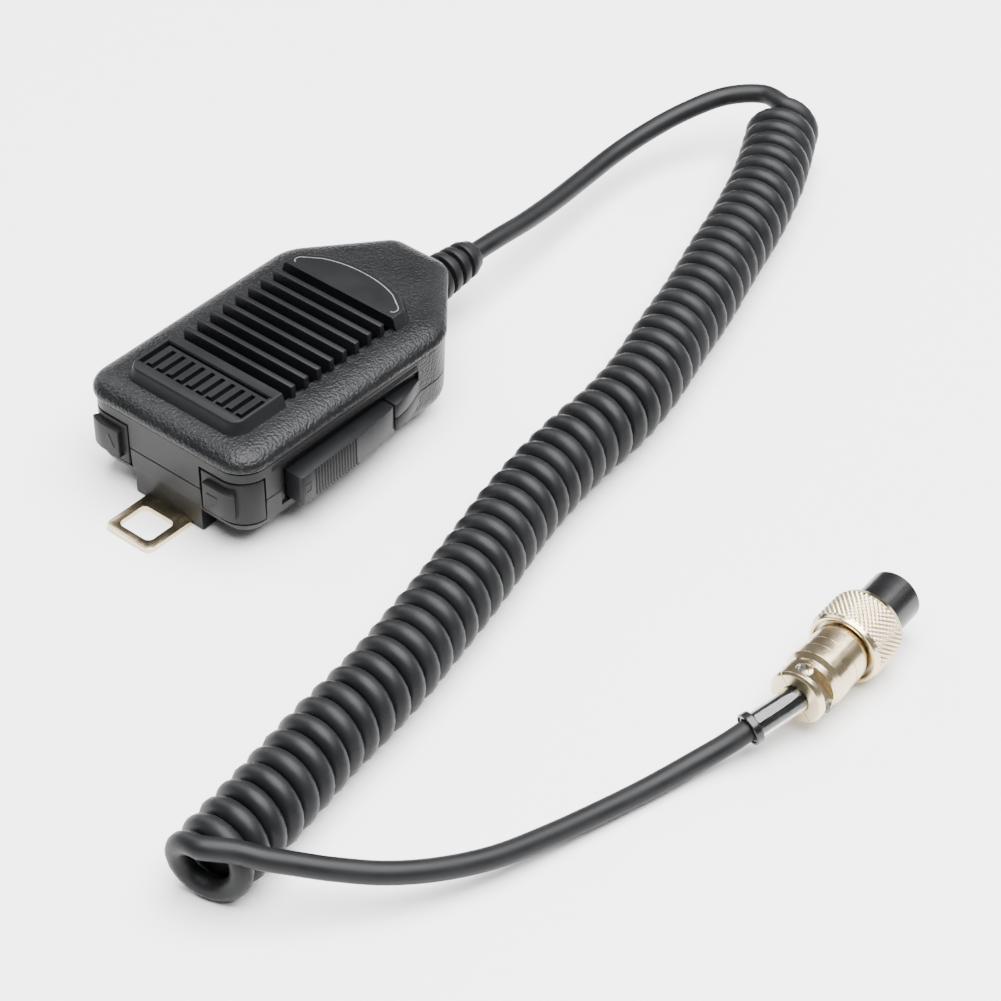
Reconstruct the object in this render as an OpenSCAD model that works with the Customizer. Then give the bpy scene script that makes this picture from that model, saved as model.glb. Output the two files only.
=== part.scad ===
// Hand microphone with a slatted grille, a push-to-talk lever, two channel keys, a hanger
// plate, and a curly cord that ends in a screw-on plug.
// The microphone lies on its back: X is across the case, Y runs towards the cord, Z is up.
// The origin is in the middle of the flat back face, on the surface that the face rests on.

/* [Case] */
// Half of the case width at the rim
rim_half_w = 27.4; // [22.5:0.1:33]
// Distance from the origin to the hanger end of the rim
rim_front = 47.4; // [44:0.1:57]
// Distance from the origin to the cord end of the rim
rim_back = 46.4; // [44:0.1:56]
// How far the sloping shoulders run along the case at the cord end
shoulder_run = 22.0; // [18:0.5:26]
// Half width of the flat cord end between the shoulders
end_half_w = 8.6; // [8:0.1:11]
// Radius of the case corners seen from above
corner_r = 8.0; // [7.5:0.1:9.5]
// Height of the parting line between the two case halves
parting_z = 13.8; // [13:0.1:15]
// Height of the lower edge of the rim
rim_z = 24.3; // [23.5:0.1:25.5]
// Height of the grained top face
top_z = 28.6; // [28:0.1:34]
// Height of the underside of the case corners
corner_z = 4.0; // [3:0.1:4.5]
// How far the side walls sit back from the rim
rim_step = 0.7; // [0.3:0.05:1.2]
// Wall thickness of both case halves
wall = 1.9; // [1.5:0.1:2.3]
// Width of the hairline between the two case halves
parting_gap = 0.12; // [0.05:0.01:0.3]
// Half width of the flat back face at the hanger end
foot_half_w = 11.2; // [9.5:0.1:13]
// Half width of the flat back face where it is widest
back_half_w = 19.0; // [18.5:0.1:20]

/* [Grille] */
// Half width of the grille
grille_half_w = 18.0; // [16:0.1:19]
// How far the grille stands above the grained face
grille_h = 3.4; // [2.8:0.1:4.1]
// Number of slats
slat_count = 8; // [6:1:9]
// Distance from one slat to the next
slat_pitch = 4.47; // [3.7:0.01:5.4]
// Thickness of a slat
slat_t = 1.5; // [1.2:0.1:1.8]
// Distance from the hanger end of the rim to the comb plate
comb_margin = 7.8; // [6.5:0.1:9]
// Length of the comb plate along the case
comb_l = 15.9; // [14:0.1:17]
// Number of narrow slots in the comb plate
comb_count = 11; // [7:1:11]
// Distance from one comb slot to the next
comb_pitch = 3.3; // [2.8:0.1:3.4]
// Width of a comb slot
comb_slot_w = 1.4; // [1.1:0.1:1.6]
// Depth of the comb slots
comb_depth = 1.6; // [1:0.1:2]
// Length of the name plate on the centre line
name_l = 10.6; // [9:0.1:12]

/* [Push-to-talk lever] */
// Distance from the hanger end of the rim to the lever's free end
lever_margin = 15.4; // [14.5:0.1:17]
// Distance from the lever's free end to its pivot
lever_l = 32.4; // [27:0.1:39]
// How far the lever's free end stands out past the rim
lever_tip_out = 3.9; // [3.2:0.1:4.7]
// How far the lever's pivot end stands out past the rim
lever_heel_out = 2.1; // [1.5:0.1:2.5]
// Height of the lever's face
lever_h = 8.0; // [6.6:0.1:9]
// Clearance round the lever
lever_gap = 0.55; // [0.4:0.05:0.8]
// Swing of the lever when it is pressed, in degrees
lever_swing = 3.4; // [2.5:0.1:3.6]
// Radius of the lever's pivot pin
pin_r = 1.0; // [0.8:0.05:1.2]
// Radial clearance of a moving part on its pin
running_clear = 0.05; // [0.02:0.01:0.1]
// Number of grip ribs on the lever
rib_count = 15; // [8:1:18]

/* [Keys] */
// Height of a key's flap
key_h = 12.0; // [10:0.1:12.5]
// Distance from the rim's lower edge down to the top of a key's flap
key_drop = 4.0; // [3.4:0.1:4.8]
// How far a key reaches along the hanger end, from the side of the rim
key_reach_x = 15.0; // [13.5:0.1:16]
// How far a key reaches along the side, from the hanger end of the rim
key_reach_y = 7.6; // [7:0.1:9]
// Clearance round a key
key_gap = 0.6; // [0.5:0.05:0.8]
// How far a key's pad stands proud of its flap
pad_proud = 1.6; // [1.2:0.1:2]
// Thickness of a key's flap
key_t = 1.5; // [1.2:0.1:1.8]

/* [Hanger plate] */
// Width of the hanger plate
hanger_w = 15.2; // [13:0.1:18]
// Thickness of the hanger plate
hanger_t = 1.3; // [1:0.1:1.6]
// How far the plate reaches past the hanger end of the rim
hanger_out = 13.4; // [12:0.1:17]
// Width of the hole in the plate
hanger_hole_w = 10.6; // [8:0.1:11]
// Length of the hole in the plate
hanger_hole_l = 9.0; // [7.5:0.1:9.5]
// Width of the metal between the hole and the plate's free end
hanger_web = 2.3; // [2:0.1:3]
// How far the plate reaches under the case
hanger_in = 24.0; // [22:0.5:26]

/* [Cord] */
// Diameter of the cord
cord_d = 5.3; // [4.5:0.1:5.5]
// Outer diameter of the curly part
coil_d = 20.0; // [16.6:0.1:20]
// Height of the cord's axis where it leaves the case
cord_z = 15.0; // [14.5:0.1:16]
// Length of the strain relief outside the case
boot_l = 19.8; // [16:0.1:22]
// Radius of the strain relief at the case
boot_base_r = 6.5; // [5.8:0.1:7]
// Radius of the strain relief's last collar
boot_tip_r = 5.1; // [4.4:0.1:5.4]
// Number of grooves in the strain relief
boot_grooves = 4; // [3:1:5]

/* [Plug] */
// Outer radius of the coupling nut over its knurl
nut_r = 9.5; // [9.3:0.05:10.4]
// Length of the coupling nut
nut_l = 11.9; // [10.5:0.1:14]
// Free travel of the coupling nut along the shell
nut_travel = 4.0; // [2.5:0.1:4.5]
// Major radius of the thread in the coupling nut
thread_r = 7.9; // [7.8:0.05:8.1]
// Radius of the insert
insert_r = 6.5; // [6.2:0.05:6.7]
// Length of the insert that stands out of the nut
insert_out = 11.6; // [9.6:0.1:14]
// Outer radius of the shell's barrel
shell_r = 7.2; // [7.1:0.05:7.4]
// Length of the shell behind the nut
shell_back = 19.5; // [18.5:0.1:23.4]
// Length of the cord clamp at the back of the shell
clamp_l = 6.2; // [5:0.1:7]
// Number of contacts
contact_count = 8; // [4:1:8]

/* [Hidden] */
$fn = 64;
tiny = 0.01;
past = 1;
fit = 0.02;

black = [0.07, 0.07, 0.08];
soft_black = [0.10, 0.10, 0.11];
nickel = [0.80, 0.74, 0.62];
steel = [0.70, 0.70, 0.72];
brass = [0.80, 0.64, 0.30];
board_green = [0.12, 0.36, 0.20];
felt_grey = [0.20, 0.20, 0.21];
clear = [0.85, 0.87, 0.88];
wire_colours = [0.62, 0.16, 0.12];

// Case surfaces
wall_half_w = rim_half_w - rim_step;
wall_front_y = -(rim_front - rim_step);
wall_back_y = rim_back - rim_step;
inner_half_w = wall_half_w - wall;
inner_front_y = wall_front_y + wall;
inner_back_y = wall_back_y - wall;
ceiling_z = top_z - wall;
shoulder_in = 7.0;
rim_edge = 0.8;
round_h = 5.0;
round_in = 4.6;
lip_h = 1.2;
lip_gap = 0.08;
corner_x = rim_half_w - corner_r;
corner_y = -(rim_front - corner_r);
shoulder_angle = atan2(rim_half_w - end_half_w, shoulder_run);
shoulder_r = 12;
end_r = 6;

// Flat back face
foot_front_y = wall_front_y + 0.5;
foot_wide_y = -(rim_front - 14);
foot_taper_y = rim_back - 18;
foot_end_y = rim_back - 6;
foot_end_half_w = 8;
pad_z = hanger_t + wall;

// Grille
grille_z = top_z + grille_h;
grille_floor_z = top_z - 1.6;
bed_t = 1.3;
bed_z = grille_floor_z - bed_t;
slat_gap = slat_pitch - slat_t;
comb_near_y = -(rim_front - comb_margin);
comb_far_y = comb_near_y + comb_l;
slat_start_y = comb_far_y + slat_gap;
name_near_y = slat_start_y + slat_count * slat_pitch;
name_far_y = name_near_y + name_l;
name_bow = 4.7;
skirt = 0.8;
skirt_h = 1.2;
plate_corner_r = 3;
slot_near_y = comb_near_y + 3.1;
slot_l = 8.0;
slot_foot_l = 1.2;
slot_foot_w = 0.9;
groove_y = comb_far_y - 3.4;
groove_w = 1.0;
sound_half_w = 13;
sound_w = 1.6;

// Lever and its recess
lever_z = parting_z + 0.2;
lever_low_z = lever_z - lever_h / 2;
lever_high_z = lever_z + lever_h / 2;
lever_tip_y = -(rim_front - lever_margin);
pivot_y = lever_tip_y + lever_l;
pivot_in = 4.2;
pivot_x = wall_half_w - pivot_in;
heel_l = 2.2;
heel_y = pivot_y + heel_l;
lever_in = 2.2;
lever_inner_x = wall_half_w - lever_in;
lever_tip_x = rim_half_w + lever_tip_out;
lever_heel_x = rim_half_w + lever_heel_out;
hub_r = 2.3;
tip_swing = (lever_tip_x - pivot_x) * sin(lever_swing);
rib_zone = 19.0;
rib_depth = 0.4;
recess_depth = 0.9;
recess_low_z = lever_low_z - 1.0;
recess_high_z = rim_z - 3.7;
recess_front_y = lever_tip_y - 2.2;
ramp_l = 11.4;
ramp_end_out = 0.2;
ramp_y = heel_y + lever_gap;
ramp_root_x = wall_half_w - recess_depth - 0.05;
boss_r = 2.4;
spring_wire_r = 0.3;
spring_turns = 4;
spring_r = pin_r + 0.65;

// Keys
key_top_z = rim_z - key_drop;
key_low_z = key_top_z - key_h;
key_side_x = rim_half_w - key_reach_x;
key_side_y = -(rim_front - key_reach_y);
pad_side_x = key_side_x + 1.7;
pad_far_x = corner_x + 4.3;
pad_low_z = key_low_z + 1.8;
pad_high_z = key_top_z - 1.8;
key_axis_in = 1.2;
key_axis_z = key_top_z - 0.8;
key_bar_r = 0.75;
key_bar_half = 4.6;
bearing_w = 1.3;
key_flap_in = corner_r - rim_step - key_t;
key_switch_z = 13.3;
key_switch_face = 1.6;
plunger_out = 1.8;
press_gap = 0.1;

// Board, screws and inside parts
board_z = 9.2;
board_t = 1.6;
board_top_z = board_z + board_t;
board_half_w = inner_half_w - 4.3;
board_front_y = inner_front_y + 3.8;
board_back_y = pivot_y + 11.6;
front_post = [14, -(rim_front - 17.4)];
back_post = [10.5, rim_back - 14.4];
post_r = 2.7;
screw_r = 1.25;
screw_clear_r = 1.45;
screw_head_r = 2.2;
screw_head_t = 1.5;
screw_sink = 1.2;
board_posts = [[-9, board_back_y - 5], [9, board_back_y - 5], [0, board_front_y + 3.4]];
board_post_r = 2.2;
small_screw_r = 0.95;
capsule_y = (comb_far_y + name_near_y) / 2 - 1.5;
capsule_r = 4.85;
felt_t = 0.8;
felt_low_z = bed_z - felt_t;
holder_t = 1.0;
capsule_z = felt_low_z - 6.2;
switch_y = lever_tip_y + 12;
switch_z = 14.0;
switch_face_x = board_half_w - 0.8;

// Cord anchorage
cord_r = cord_d / 2;
coil_r = coil_d / 2;
clamp_front_y = inner_back_y - 7.4;
clamp_w = 4.4;
clamp_half_w = 7.4;
clamp_seat_z = cord_z - cord_r - 0.05;
tail_start_y = clamp_front_y - 1.5;
neck_r = 5.0;
flange_r = 5.9;
flange_t = 1.5;
boot_end_y = wall_back_y + boot_l;
boot_collar_l = 4.6;
groove_share = 0.4;

// Cord routes, as points chosen by hand
upper_route = [[0, boot_end_y, cord_z], [0, 76, 14.6], [-0.8, 88, 13], [-2.2, 101, 11.6], [-3.6, 115, 11],
    [-4.2, 129, 11.4], [-2.8, 142, 12.8], [0.6, 154, 14.8], [6, 165, 16.6], [14, 172, 17.2], [22, 173, 17]];
coil_axis = [[22, 171], [33, 150], [41, 130], [47, 111], [53, 93], [58, 75], [63, 58], [66, 42], [67, 27],
    [69, 12], [72, -3], [76, -18], [79.5, -32], [82.5, -46], [85.5, -60], [87.5, -73], [89, -86], [91, -98],
    [93, -110], [94.5, -121], [96, -132]];
lower_route = [[97, -131.5, 17.3], [102, -127.5, 16.6], [107, -124.3, 15.4], [112, -120, 13.8], [118, -114.5, 11.8],
    [125.5, -107, 9.8], [132, -97.5, 7.8], [137.3, -86, 5.8], [141, -73, 4.2], [144.3, -60, 3.2],
    [147.8, -46.5, 2.9], [151.2, -34, 3.8], [153.8, -27, 5.4], [155.8, -21.5, 7.2], [157.4, -16, 8.4],
    [158.6, -12, 9.3], [159.2, -9, 9.6], [159.1, -7, 9.6]];
sleeve_from = 13;
tube_sides = 10;
coil_sides = 12;

// Plug
plug_at = [159.2, -9, 9.6];
plug_yaw = 4;
sleeve_r = 3.4;
sleeve_bore_r = cord_r + 0.2;
ring_r = 3.95;
ring_l = 2.0;
clamp_r = 6.9;
clamp_bore_r = 3.5;
clamp_split = 0.15;
clamp_slot = 0.7;
clamp_turn = 50;
clamp_flat = 5.3;
clamp_edge = 0.6;
band_r = 7.45;
neck_l = 0.8;
nut_start = shell_back;
nut_end = nut_start + nut_l;
lip_t = 1.4;
lip_r = 7.8;
chamber_r = 8.75;
ring_at = nut_start + lip_t + 0.1;
ring_t = 1.0;
ring_out_r = 8.6;
ring_groove = 0.5;
washer_t = 0.6;
chamber_end = ring_at + ring_t + nut_travel + washer_t + 0.4;
shell_end = chamber_end + 0.5;
insert_start = nut_start + 0.5;
insert_end = nut_end + insert_out;
insert_step = 0.25;
contact_r = 0.8;
contact_ring_r = 4.3;
clamp_screw_r = 0.8;
clamp_screw_x = 5.0;
knurl_depth = 0.35;

// Points of an arc about a centre
function arc(c, r, from, to, steps) =
    [for (i = [0 : steps]) c + r * [cos(from + (to - from) * i / steps), sin(from + (to - from) * i / steps)]];

// Outline of the case seen from above, inset all round
function case_outline(inset) =
    let (
        side_c = [rim_half_w - shoulder_r, rim_back - shoulder_run - shoulder_r * tan(shoulder_angle / 2)],
        end_c = [end_half_w - end_r * tan((90 - shoulder_angle) / 2), rim_back - end_r],
        right = concat(
            arc([corner_x, corner_y], corner_r - inset, -90, 0, 8),
            arc(side_c, shoulder_r - inset, 0, shoulder_angle, 5),
            arc(end_c, end_r - min(inset, end_r - 0.2), shoulder_angle, 90, 5)),
        count = len(right)
    )
    concat(right, [for (i = [0 : count - 1]) [-right[count - 1 - i][0], right[count - 1 - i][1]]]);

// Direction from one point to the next
function unit(v) = v / norm(v);

// Tangent of a route at one of its points
function tangent(route, i) =
    unit(route[min(i + 1, len(route) - 1)] - route[max(i - 1, 0)]);

// Points of one ring of a tube
function tube_ring(route, i, r, sides) =
    let (
        along = tangent(route, i),
        across = unit(cross(along, [0, 0, 1])),
        up = cross(across, along)
    )
    [for (k = [0 : sides - 1]) route[i] + r * (cos(360 * k / sides - 90) * across + sin(360 * k / sides - 90) * up)];

// Closed tube along a route
module tube(route, r, sides) {
    count = len(route);
    points = [for (i = [0 : count - 1]) each tube_ring(route, i, r, sides)];
    walls = [for (i = [0 : count - 2]) for (k = [0 : sides - 1])
        let (a = i * sides + k, b = i * sides + (k + 1) % sides)
        each [[a, b, b + sides], [a, b + sides, a + sides]]];
    start_cap = [[for (k = [0 : sides - 1]) sides - 1 - k]];
    end_cap = [[for (k = [0 : sides - 1]) (count - 1) * sides + k]];
    polyhedron(points, [for (f = concat(start_cap, walls, end_cap)) [for (j = [len(f) - 1 : -1 : 0]) f[j]]]);
}

// Closed solid through level outlines that have the same number of points
module loft(levels) {
    sides = len(levels[0][1]);
    count = len(levels);
    points = [for (level = levels) for (p = level[1]) [p[0], p[1], level[0]]];
    walls = [for (i = [0 : count - 2]) for (k = [0 : sides - 1])
        let (a = i * sides + k, b = i * sides + (k + 1) % sides)
        each [[a, b + sides, b], [a, a + sides, b + sides]]];
    bottom = [[for (k = [0 : sides - 1]) k]];
    top = [[for (k = [0 : sides - 1]) count * sides - 1 - k]];
    polyhedron(points, concat(bottom, walls, top));
}

// Open pipe along a route
module pipe(route, outer, inner, sides) {
    count = len(route);
    rings = count * sides;
    points = concat(
        [for (i = [0 : count - 1]) each tube_ring(route, i, outer, sides)],
        [for (i = [0 : count - 1]) each tube_ring(route, i, inner, sides)]);
    walls = [for (i = [0 : count - 2]) for (k = [0 : sides - 1])
        let (a = i * sides + k, b = i * sides + (k + 1) % sides)
        each [[a, b + sides, b], [a, a + sides, b + sides],
            [rings + a, rings + b, rings + b + sides], [rings + a, rings + b + sides, rings + a + sides]]];
    ends = [for (k = [0 : sides - 1])
        let (a = k, b = (k + 1) % sides, c = rings - sides + k, d = rings - sides + (k + 1) % sides)
        each [[a, b, rings + b], [a, rings + b, rings + a], [c, rings + d, d], [c, rings + c, rings + d]]];
    polyhedron(points, concat(walls, ends));
}

// Straight round rod between two points
module rod(from, to, r) {
    v = to - from;
    translate(from)
        rotate([0, acos(v[2] / norm(v)), atan2(v[1], v[0])])
            cylinder(h = norm(v), r = r, $fn = 24);
}

// Upright block between two heights
module block(x0, x1, y0, y1, z0, z1) {
    translate([x0, y0, z0])
        cube([x1 - x0, y1 - y0, z1 - z0]);
}

// Round bar along Y
module bar_y(r, y0, y1, z) {
    translate([0, y0, z])
        rotate([-90, 0, 0])
            cylinder(h = y1 - y0, r = r);
}

module mirror_pair() {
    children();
    mirror([1, 0, 0])
        children();
}

// Puts a shape in a front corner: local X points outwards through the corner, local Y along it
module at_corner(side) {
    mirror([side < 0 ? 1 : 0, 0, 0])
        translate([corner_x, corner_y, 0])
            rotate([0, 0, -45])
                children();
}

// Part of the case wall round a front corner, seen from above
module corner_wall(outer, inner, x0, x1, y1) {
    intersection() {
        difference() {
            polygon(case_outline(outer));
            polygon(case_outline(inner));
        }
        translate([x0, -rim_front - 10])
            square([x1 - x0, rim_front + 10 + y1]);
    }
}

// Cut through the wall for a key
module key_opening(side) {
    mirror([side < 0 ? 1 : 0, 0, 0])
        translate([0, 0, key_low_z - key_gap])
            linear_extrude(key_h + 2 * key_gap)
                corner_wall(-5, rim_step + wall + 0.6, key_side_x - key_gap, rim_half_w + 10, key_side_y + key_gap);
}

// Hollow inside of the case
module cavity() {
    low_z = corner_z + wall;
    bend_z = rim_z - 1.5;
    loft(concat(
        [for (a = [0 : 22.5 : 90])
            [low_z + round_h * 0.8 * (1 - cos(a)), case_outline(rim_step + wall + 3.2 * (1 - sin(a)))]],
        [for (a = [0 : 22.5 : 90])
            [bend_z + (ceiling_z - bend_z) * sin(a), case_outline(rim_step + wall + 4.6 * (1 - cos(a)))]]));
}

// Opening and shallow recess round the lever
module lever_opening() {
    block(lever_inner_x - 6, lever_tip_x + 5, lever_tip_y - lever_gap - tip_swing, heel_y + lever_gap,
        lever_low_z - lever_gap, lever_high_z + lever_gap);
    block(wall_half_w - recess_depth, lever_tip_x + 5, recess_front_y, ramp_y + ramp_l, recess_low_z, recess_high_z);
}

// Fixed ramp that carries the line of the lever on into the case
module ramp(z0, z1) {
    translate([0, 0, z0])
        linear_extrude(z1 - z0)
            polygon([[ramp_root_x, ramp_y], [lever_heel_x - 0.3, ramp_y], [lever_heel_x, ramp_y + 0.8],
                [lever_heel_x - 0.6, ramp_y + 5], [wall_half_w + ramp_end_out, ramp_y + ramp_l],
                [ramp_root_x, ramp_y + ramp_l]]);
}

// Bore for the neck of the strain relief
module cord_bore() {
    bar_y(neck_r + 0.03, inner_back_y - past, wall_back_y + past, cord_z);
}

// Outline of the comb plate, which runs on into the slats' pocket
function comb_outline(grow) =
    let (half = grille_half_w + grow, r = plate_corner_r + grow, near = comb_near_y - grow)
    concat(
        arc([half - r, near + r], r, -90, 0, 6),
        [[half, comb_far_y + 0.7], [-half, comb_far_y + 0.7]],
        arc([-(half - r), near + r], r, 180, 270, 6));

// Outline of the name plate, whose far edge is bowed
function name_outline(grow) =
    let (half = grille_half_w + grow, r = plate_corner_r + grow, far = name_far_y + grow)
    concat(
        [[-half, name_near_y - 0.7], [half, name_near_y - 0.7]],
        arc([half - r, far - name_bow - r], r, 0, 60, 5),
        [for (t = [0.7 : -0.2 : -0.71]) [half * t, far - name_bow * pow(abs(t), 2.2)]],
        arc([-(half - r), far - name_bow - r], r, 120, 180, 5));

// The two flat grille plates, with a low step round their feet
module grille_plates() {
    for (level = [[grille_z, 0], [top_z + skirt_h, skirt]])
        translate([0, 0, top_z - 1.2])
            linear_extrude(level[0] - top_z + 1.2) {
                polygon(comb_outline(level[1]));
                polygon(name_outline(level[1]));
            }
}

// Pocket that the slats stand in, with the sound openings
module grille_pocket() {
    block(-grille_half_w - skirt - past, grille_half_w + skirt + past, comb_far_y, name_near_y,
        top_z + 0.02, grille_z + past);
    block(-grille_half_w + 0.8, grille_half_w - 0.8, comb_far_y, name_near_y, grille_floor_z, grille_z + past);
    for (i = [1 : slat_count - 1])
        block(-sound_half_w, sound_half_w, slat_start_y + i * slat_pitch - slat_gap / 2 - sound_w / 2,
            slat_start_y + i * slat_pitch - slat_gap / 2 + sound_w / 2, bed_z - past, grille_floor_z + past);
}

// Slots in the comb plate
module comb_slots() {
    low = grille_z - comb_depth;
    high = grille_z + past;
    first = -(comb_count - 1) / 2 * comb_pitch;
    for (i = [0 : comb_count - 1]) {
        x = first + i * comb_pitch;
        block(x - comb_slot_w / 2, x + comb_slot_w / 2, slot_near_y,
            i == 0 ? groove_y : slot_near_y + slot_l, low, high);
        if (i > 0)
            block(x - comb_slot_w / 2 - slot_foot_l, x, slot_near_y, slot_near_y + slot_foot_w, low, high);
    }
    block(first - comb_slot_w / 2, -first, groove_y - groove_w / 2, groove_y + groove_w / 2, low, high);
}

// Two hooks that hold a key's pivot bar
module key_bearings(side) {
    at_corner(side)
        for (y = [-key_bar_half + 0.2, key_bar_half - 0.2 - bearing_w])
            difference() {
                block(key_axis_in - 1.6, key_axis_in + 1.3, y, y + bearing_w, key_axis_z - 0.9, ceiling_z - 1.0);
                translate([key_axis_in, y - past, key_axis_z])
                    rotate([-90, 0, 0])
                        cylinder(h = bearing_w + 2 * past, r = key_bar_r + running_clear);
            }
}

module front_case() {
    color(black)
    difference() {
        union() {
            difference() {
                union() {
                    translate([0, 0, parting_z + parting_gap / 2])
                        linear_extrude(rim_z + 0.6 - parting_z - parting_gap / 2)
                            polygon(case_outline(rim_step));
                    loft(concat([[rim_z, case_outline(0)]],
                        [for (a = [0 : 15 : 90])
                            [rim_z + rim_edge + (top_z - rim_z - rim_edge) * sin(a),
                                case_outline(shoulder_in * (1 - cos(a)))]]));
                }
                cavity();
                translate([0, 0, parting_z])
                    linear_extrude(lip_h + lip_gap)
                        polygon(case_outline(rim_step + wall / 2));
            }
            ramp(parting_z + parting_gap / 2, lever_high_z);
            block(-grille_half_w - 1, grille_half_w + 1, comb_far_y - 2, name_near_y + 2, bed_z, grille_floor_z);
            grille_plates();
            mirror_pair() {
                translate([front_post[0], front_post[1], parting_z + parting_gap / 2])
                    cylinder(h = ceiling_z - parting_z, r = post_r);
                translate([back_post[0], back_post[1], parting_z + parting_gap / 2])
                    cylinder(h = ceiling_z - parting_z, r = post_r);
            }
            key_bearings(1);
            key_bearings(-1);
            translate([pivot_x, pivot_y, lever_high_z + 3.6])
                cylinder(h = rim_z - lever_high_z - 3.6, r = boss_r);
        }
        grille_pocket();
        comb_slots();
        key_opening(1);
        key_opening(-1);
        difference() {
            lever_opening();
            ramp(0, lever_high_z);
        }
        cord_bore();
        mirror_pair() {
            translate([front_post[0], front_post[1], parting_z - past])
                cylinder(h = 9, r = screw_r + fit);
            translate([back_post[0], back_post[1], parting_z - past])
                cylinder(h = 9, r = screw_r + fit);
        }
        translate([pivot_x, pivot_y, lever_high_z])
            cylinder(h = 5.6, r = pin_r + fit);
    }
    color(black)
    for (i = [0 : slat_count - 1])
        block(-grille_half_w, grille_half_w, slat_start_y + i * slat_pitch, slat_start_y + i * slat_pitch + slat_t,
            bed_z, grille_z);
}

module back_case() {
    seat_z = screw_sink + screw_head_t;
    top = parting_z - parting_gap / 2;
    color(soft_black)
    difference() {
        union() {
            difference() {
                union() {
                    loft(concat([for (a = [0 : 15 : 90])
                        [corner_z + round_h * (1 - cos(a)), case_outline(rim_step + round_in * (1 - sin(a)))]],
                        [[top, case_outline(rim_step)]]));
                    linear_extrude(corner_z + round_h - 0.3)
                        foot_shape(0);
                }
                cavity();
                translate([0, 0, wall])
                    linear_extrude(corner_z + 2)
                        foot_shape(wall);
            }
            block(-hanger_w / 2 - wall, hanger_w / 2 + wall, foot_front_y + wall / 2,
                -rim_front + hanger_in + wall, wall / 2, pad_z);
            translate([0, 0, top - past])
                linear_extrude(past + parting_gap / 2 + lip_h)
                    difference() {
                        polygon(case_outline(rim_step + wall / 2 + lip_gap));
                        polygon(case_outline(rim_step + wall));
                    }
            ramp(lever_low_z, top);
            mirror_pair() {
                post(front_post, top);
                post(back_post, top);
            }
            for (p = board_posts)
                translate([p[0], p[1], wall / 2])
                    cylinder(h = board_z - wall / 2, r = board_post_r);
            translate([pivot_x, pivot_y, corner_z + 1.6])
                cylinder(h = lever_low_z - 0.5 - corner_z - 1.6, r = boss_r);
            block(-clamp_half_w, clamp_half_w, clamp_front_y, clamp_front_y + clamp_w, wall / 2, clamp_seat_z);
            for (y = [foot_front_y + 6, foot_front_y + 17])
                translate([0, y, wall / 2])
                    cylinder(h = 5, r = 2.4);
        }
        key_opening(1);
        key_opening(-1);
        difference() {
            lever_opening();
            ramp(lever_low_z, parting_z);
        }
        cord_bore();
        block(-hanger_w / 2 - 0.1, hanger_w / 2 + 0.1, -rim_front - past,
            -rim_front + hanger_in + 0.1, -past, hanger_t);
        mirror_pair()
            for (p = [front_post, back_post]) {
                translate([p[0], p[1], -past])
                    cylinder(h = seat_z + past, r = screw_head_r + 0.2);
                translate([p[0], p[1], -past])
                    cylinder(h = parting_z + 2 * past, r = screw_clear_r);
            }
        for (p = board_posts)
            translate([p[0], p[1], board_z - 5])
                cylinder(h = 5 + past, r = small_screw_r + fit);
        translate([pivot_x, pivot_y, corner_z + 2.4])
            cylinder(h = 8, r = pin_r + fit);
        for (x = [-clamp_screw_x, clamp_screw_x])
            translate([x, clamp_front_y + clamp_w / 2, clamp_seat_z - 6])
                cylinder(h = 6 + past, r = small_screw_r + fit);
        for (y = [foot_front_y + 6, foot_front_y + 17])
            translate([0, y, -past])
                cylinder(h = 5 + past, r = small_screw_r + fit);
    }
}

// Outline of the flat back face, inset all round
module foot_shape(inset) {
    y0 = foot_front_y + inset;
    polygon([[foot_half_w - inset, y0], [foot_half_w - inset, foot_wide_y - 4 + inset],
        [back_half_w - inset, foot_wide_y + inset], [back_half_w - inset, foot_taper_y - inset / 2],
        [foot_end_half_w - inset / 2, foot_end_y - inset], [-foot_end_half_w + inset / 2, foot_end_y - inset],
        [-back_half_w + inset, foot_taper_y - inset / 2], [-back_half_w + inset, foot_wide_y + inset],
        [-foot_half_w + inset, foot_wide_y - 4 + inset], [-foot_half_w + inset, y0]]);
}

// Screw post that rises from the back
module post(p, top) {
    translate([p[0], p[1], wall / 2])
        cylinder(h = top - wall / 2, r = post_r);
}

module hanger_plate() {
    tip_r = 2.0;
    hole_r = 1.6;
    tip_y = -rim_front - hanger_out;
    hole_y = tip_y + hanger_web;
    color(nickel)
    difference() {
        linear_extrude(hanger_t)
            difference() {
                polygon(concat(
                    [[hanger_w / 2, -rim_front + hanger_in], [-hanger_w / 2, -rim_front + hanger_in]],
                    arc([-hanger_w / 2 + tip_r, tip_y + tip_r], tip_r, 180, 270, 6),
                    arc([hanger_w / 2 - tip_r, tip_y + tip_r], tip_r, 270, 360, 6)));
                polygon(concat(
                    arc([hanger_hole_w / 2 - hole_r, hole_y + hole_r], hole_r, -90, 0, 5),
                    arc([hanger_hole_w / 2 - hole_r, hole_y + hanger_hole_l - hole_r], hole_r, 0, 90, 5),
                    arc([-hanger_hole_w / 2 + hole_r, hole_y + hanger_hole_l - hole_r], hole_r, 90, 180, 5),
                    arc([-hanger_hole_w / 2 + hole_r, hole_y + hole_r], hole_r, 180, 270, 5)));
            }
        for (y = [foot_front_y + 6, foot_front_y + 17])
            translate([0, y, -tiny])
                rotate_extrude()
                    polygon([[0, 0], [2.2, 0], [1.05, 1.15], [1.05, hanger_t + past], [0, hanger_t + past]]);
    }
}

module hanger_screws() {
    color(steel)
    for (y = [foot_front_y + 6, foot_front_y + 17])
        translate([0, y, 0])
            difference() {
                rotate_extrude()
                    polygon([[0, 0.1], [2.0, 0.1], [small_screw_r, 1.12], [small_screw_r, 4.6], [0, 4.6]]);
                translate([0, 0, 0.4])
                    cube([2.4, 0.5, 0.8], center = true);
            }
}

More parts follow.
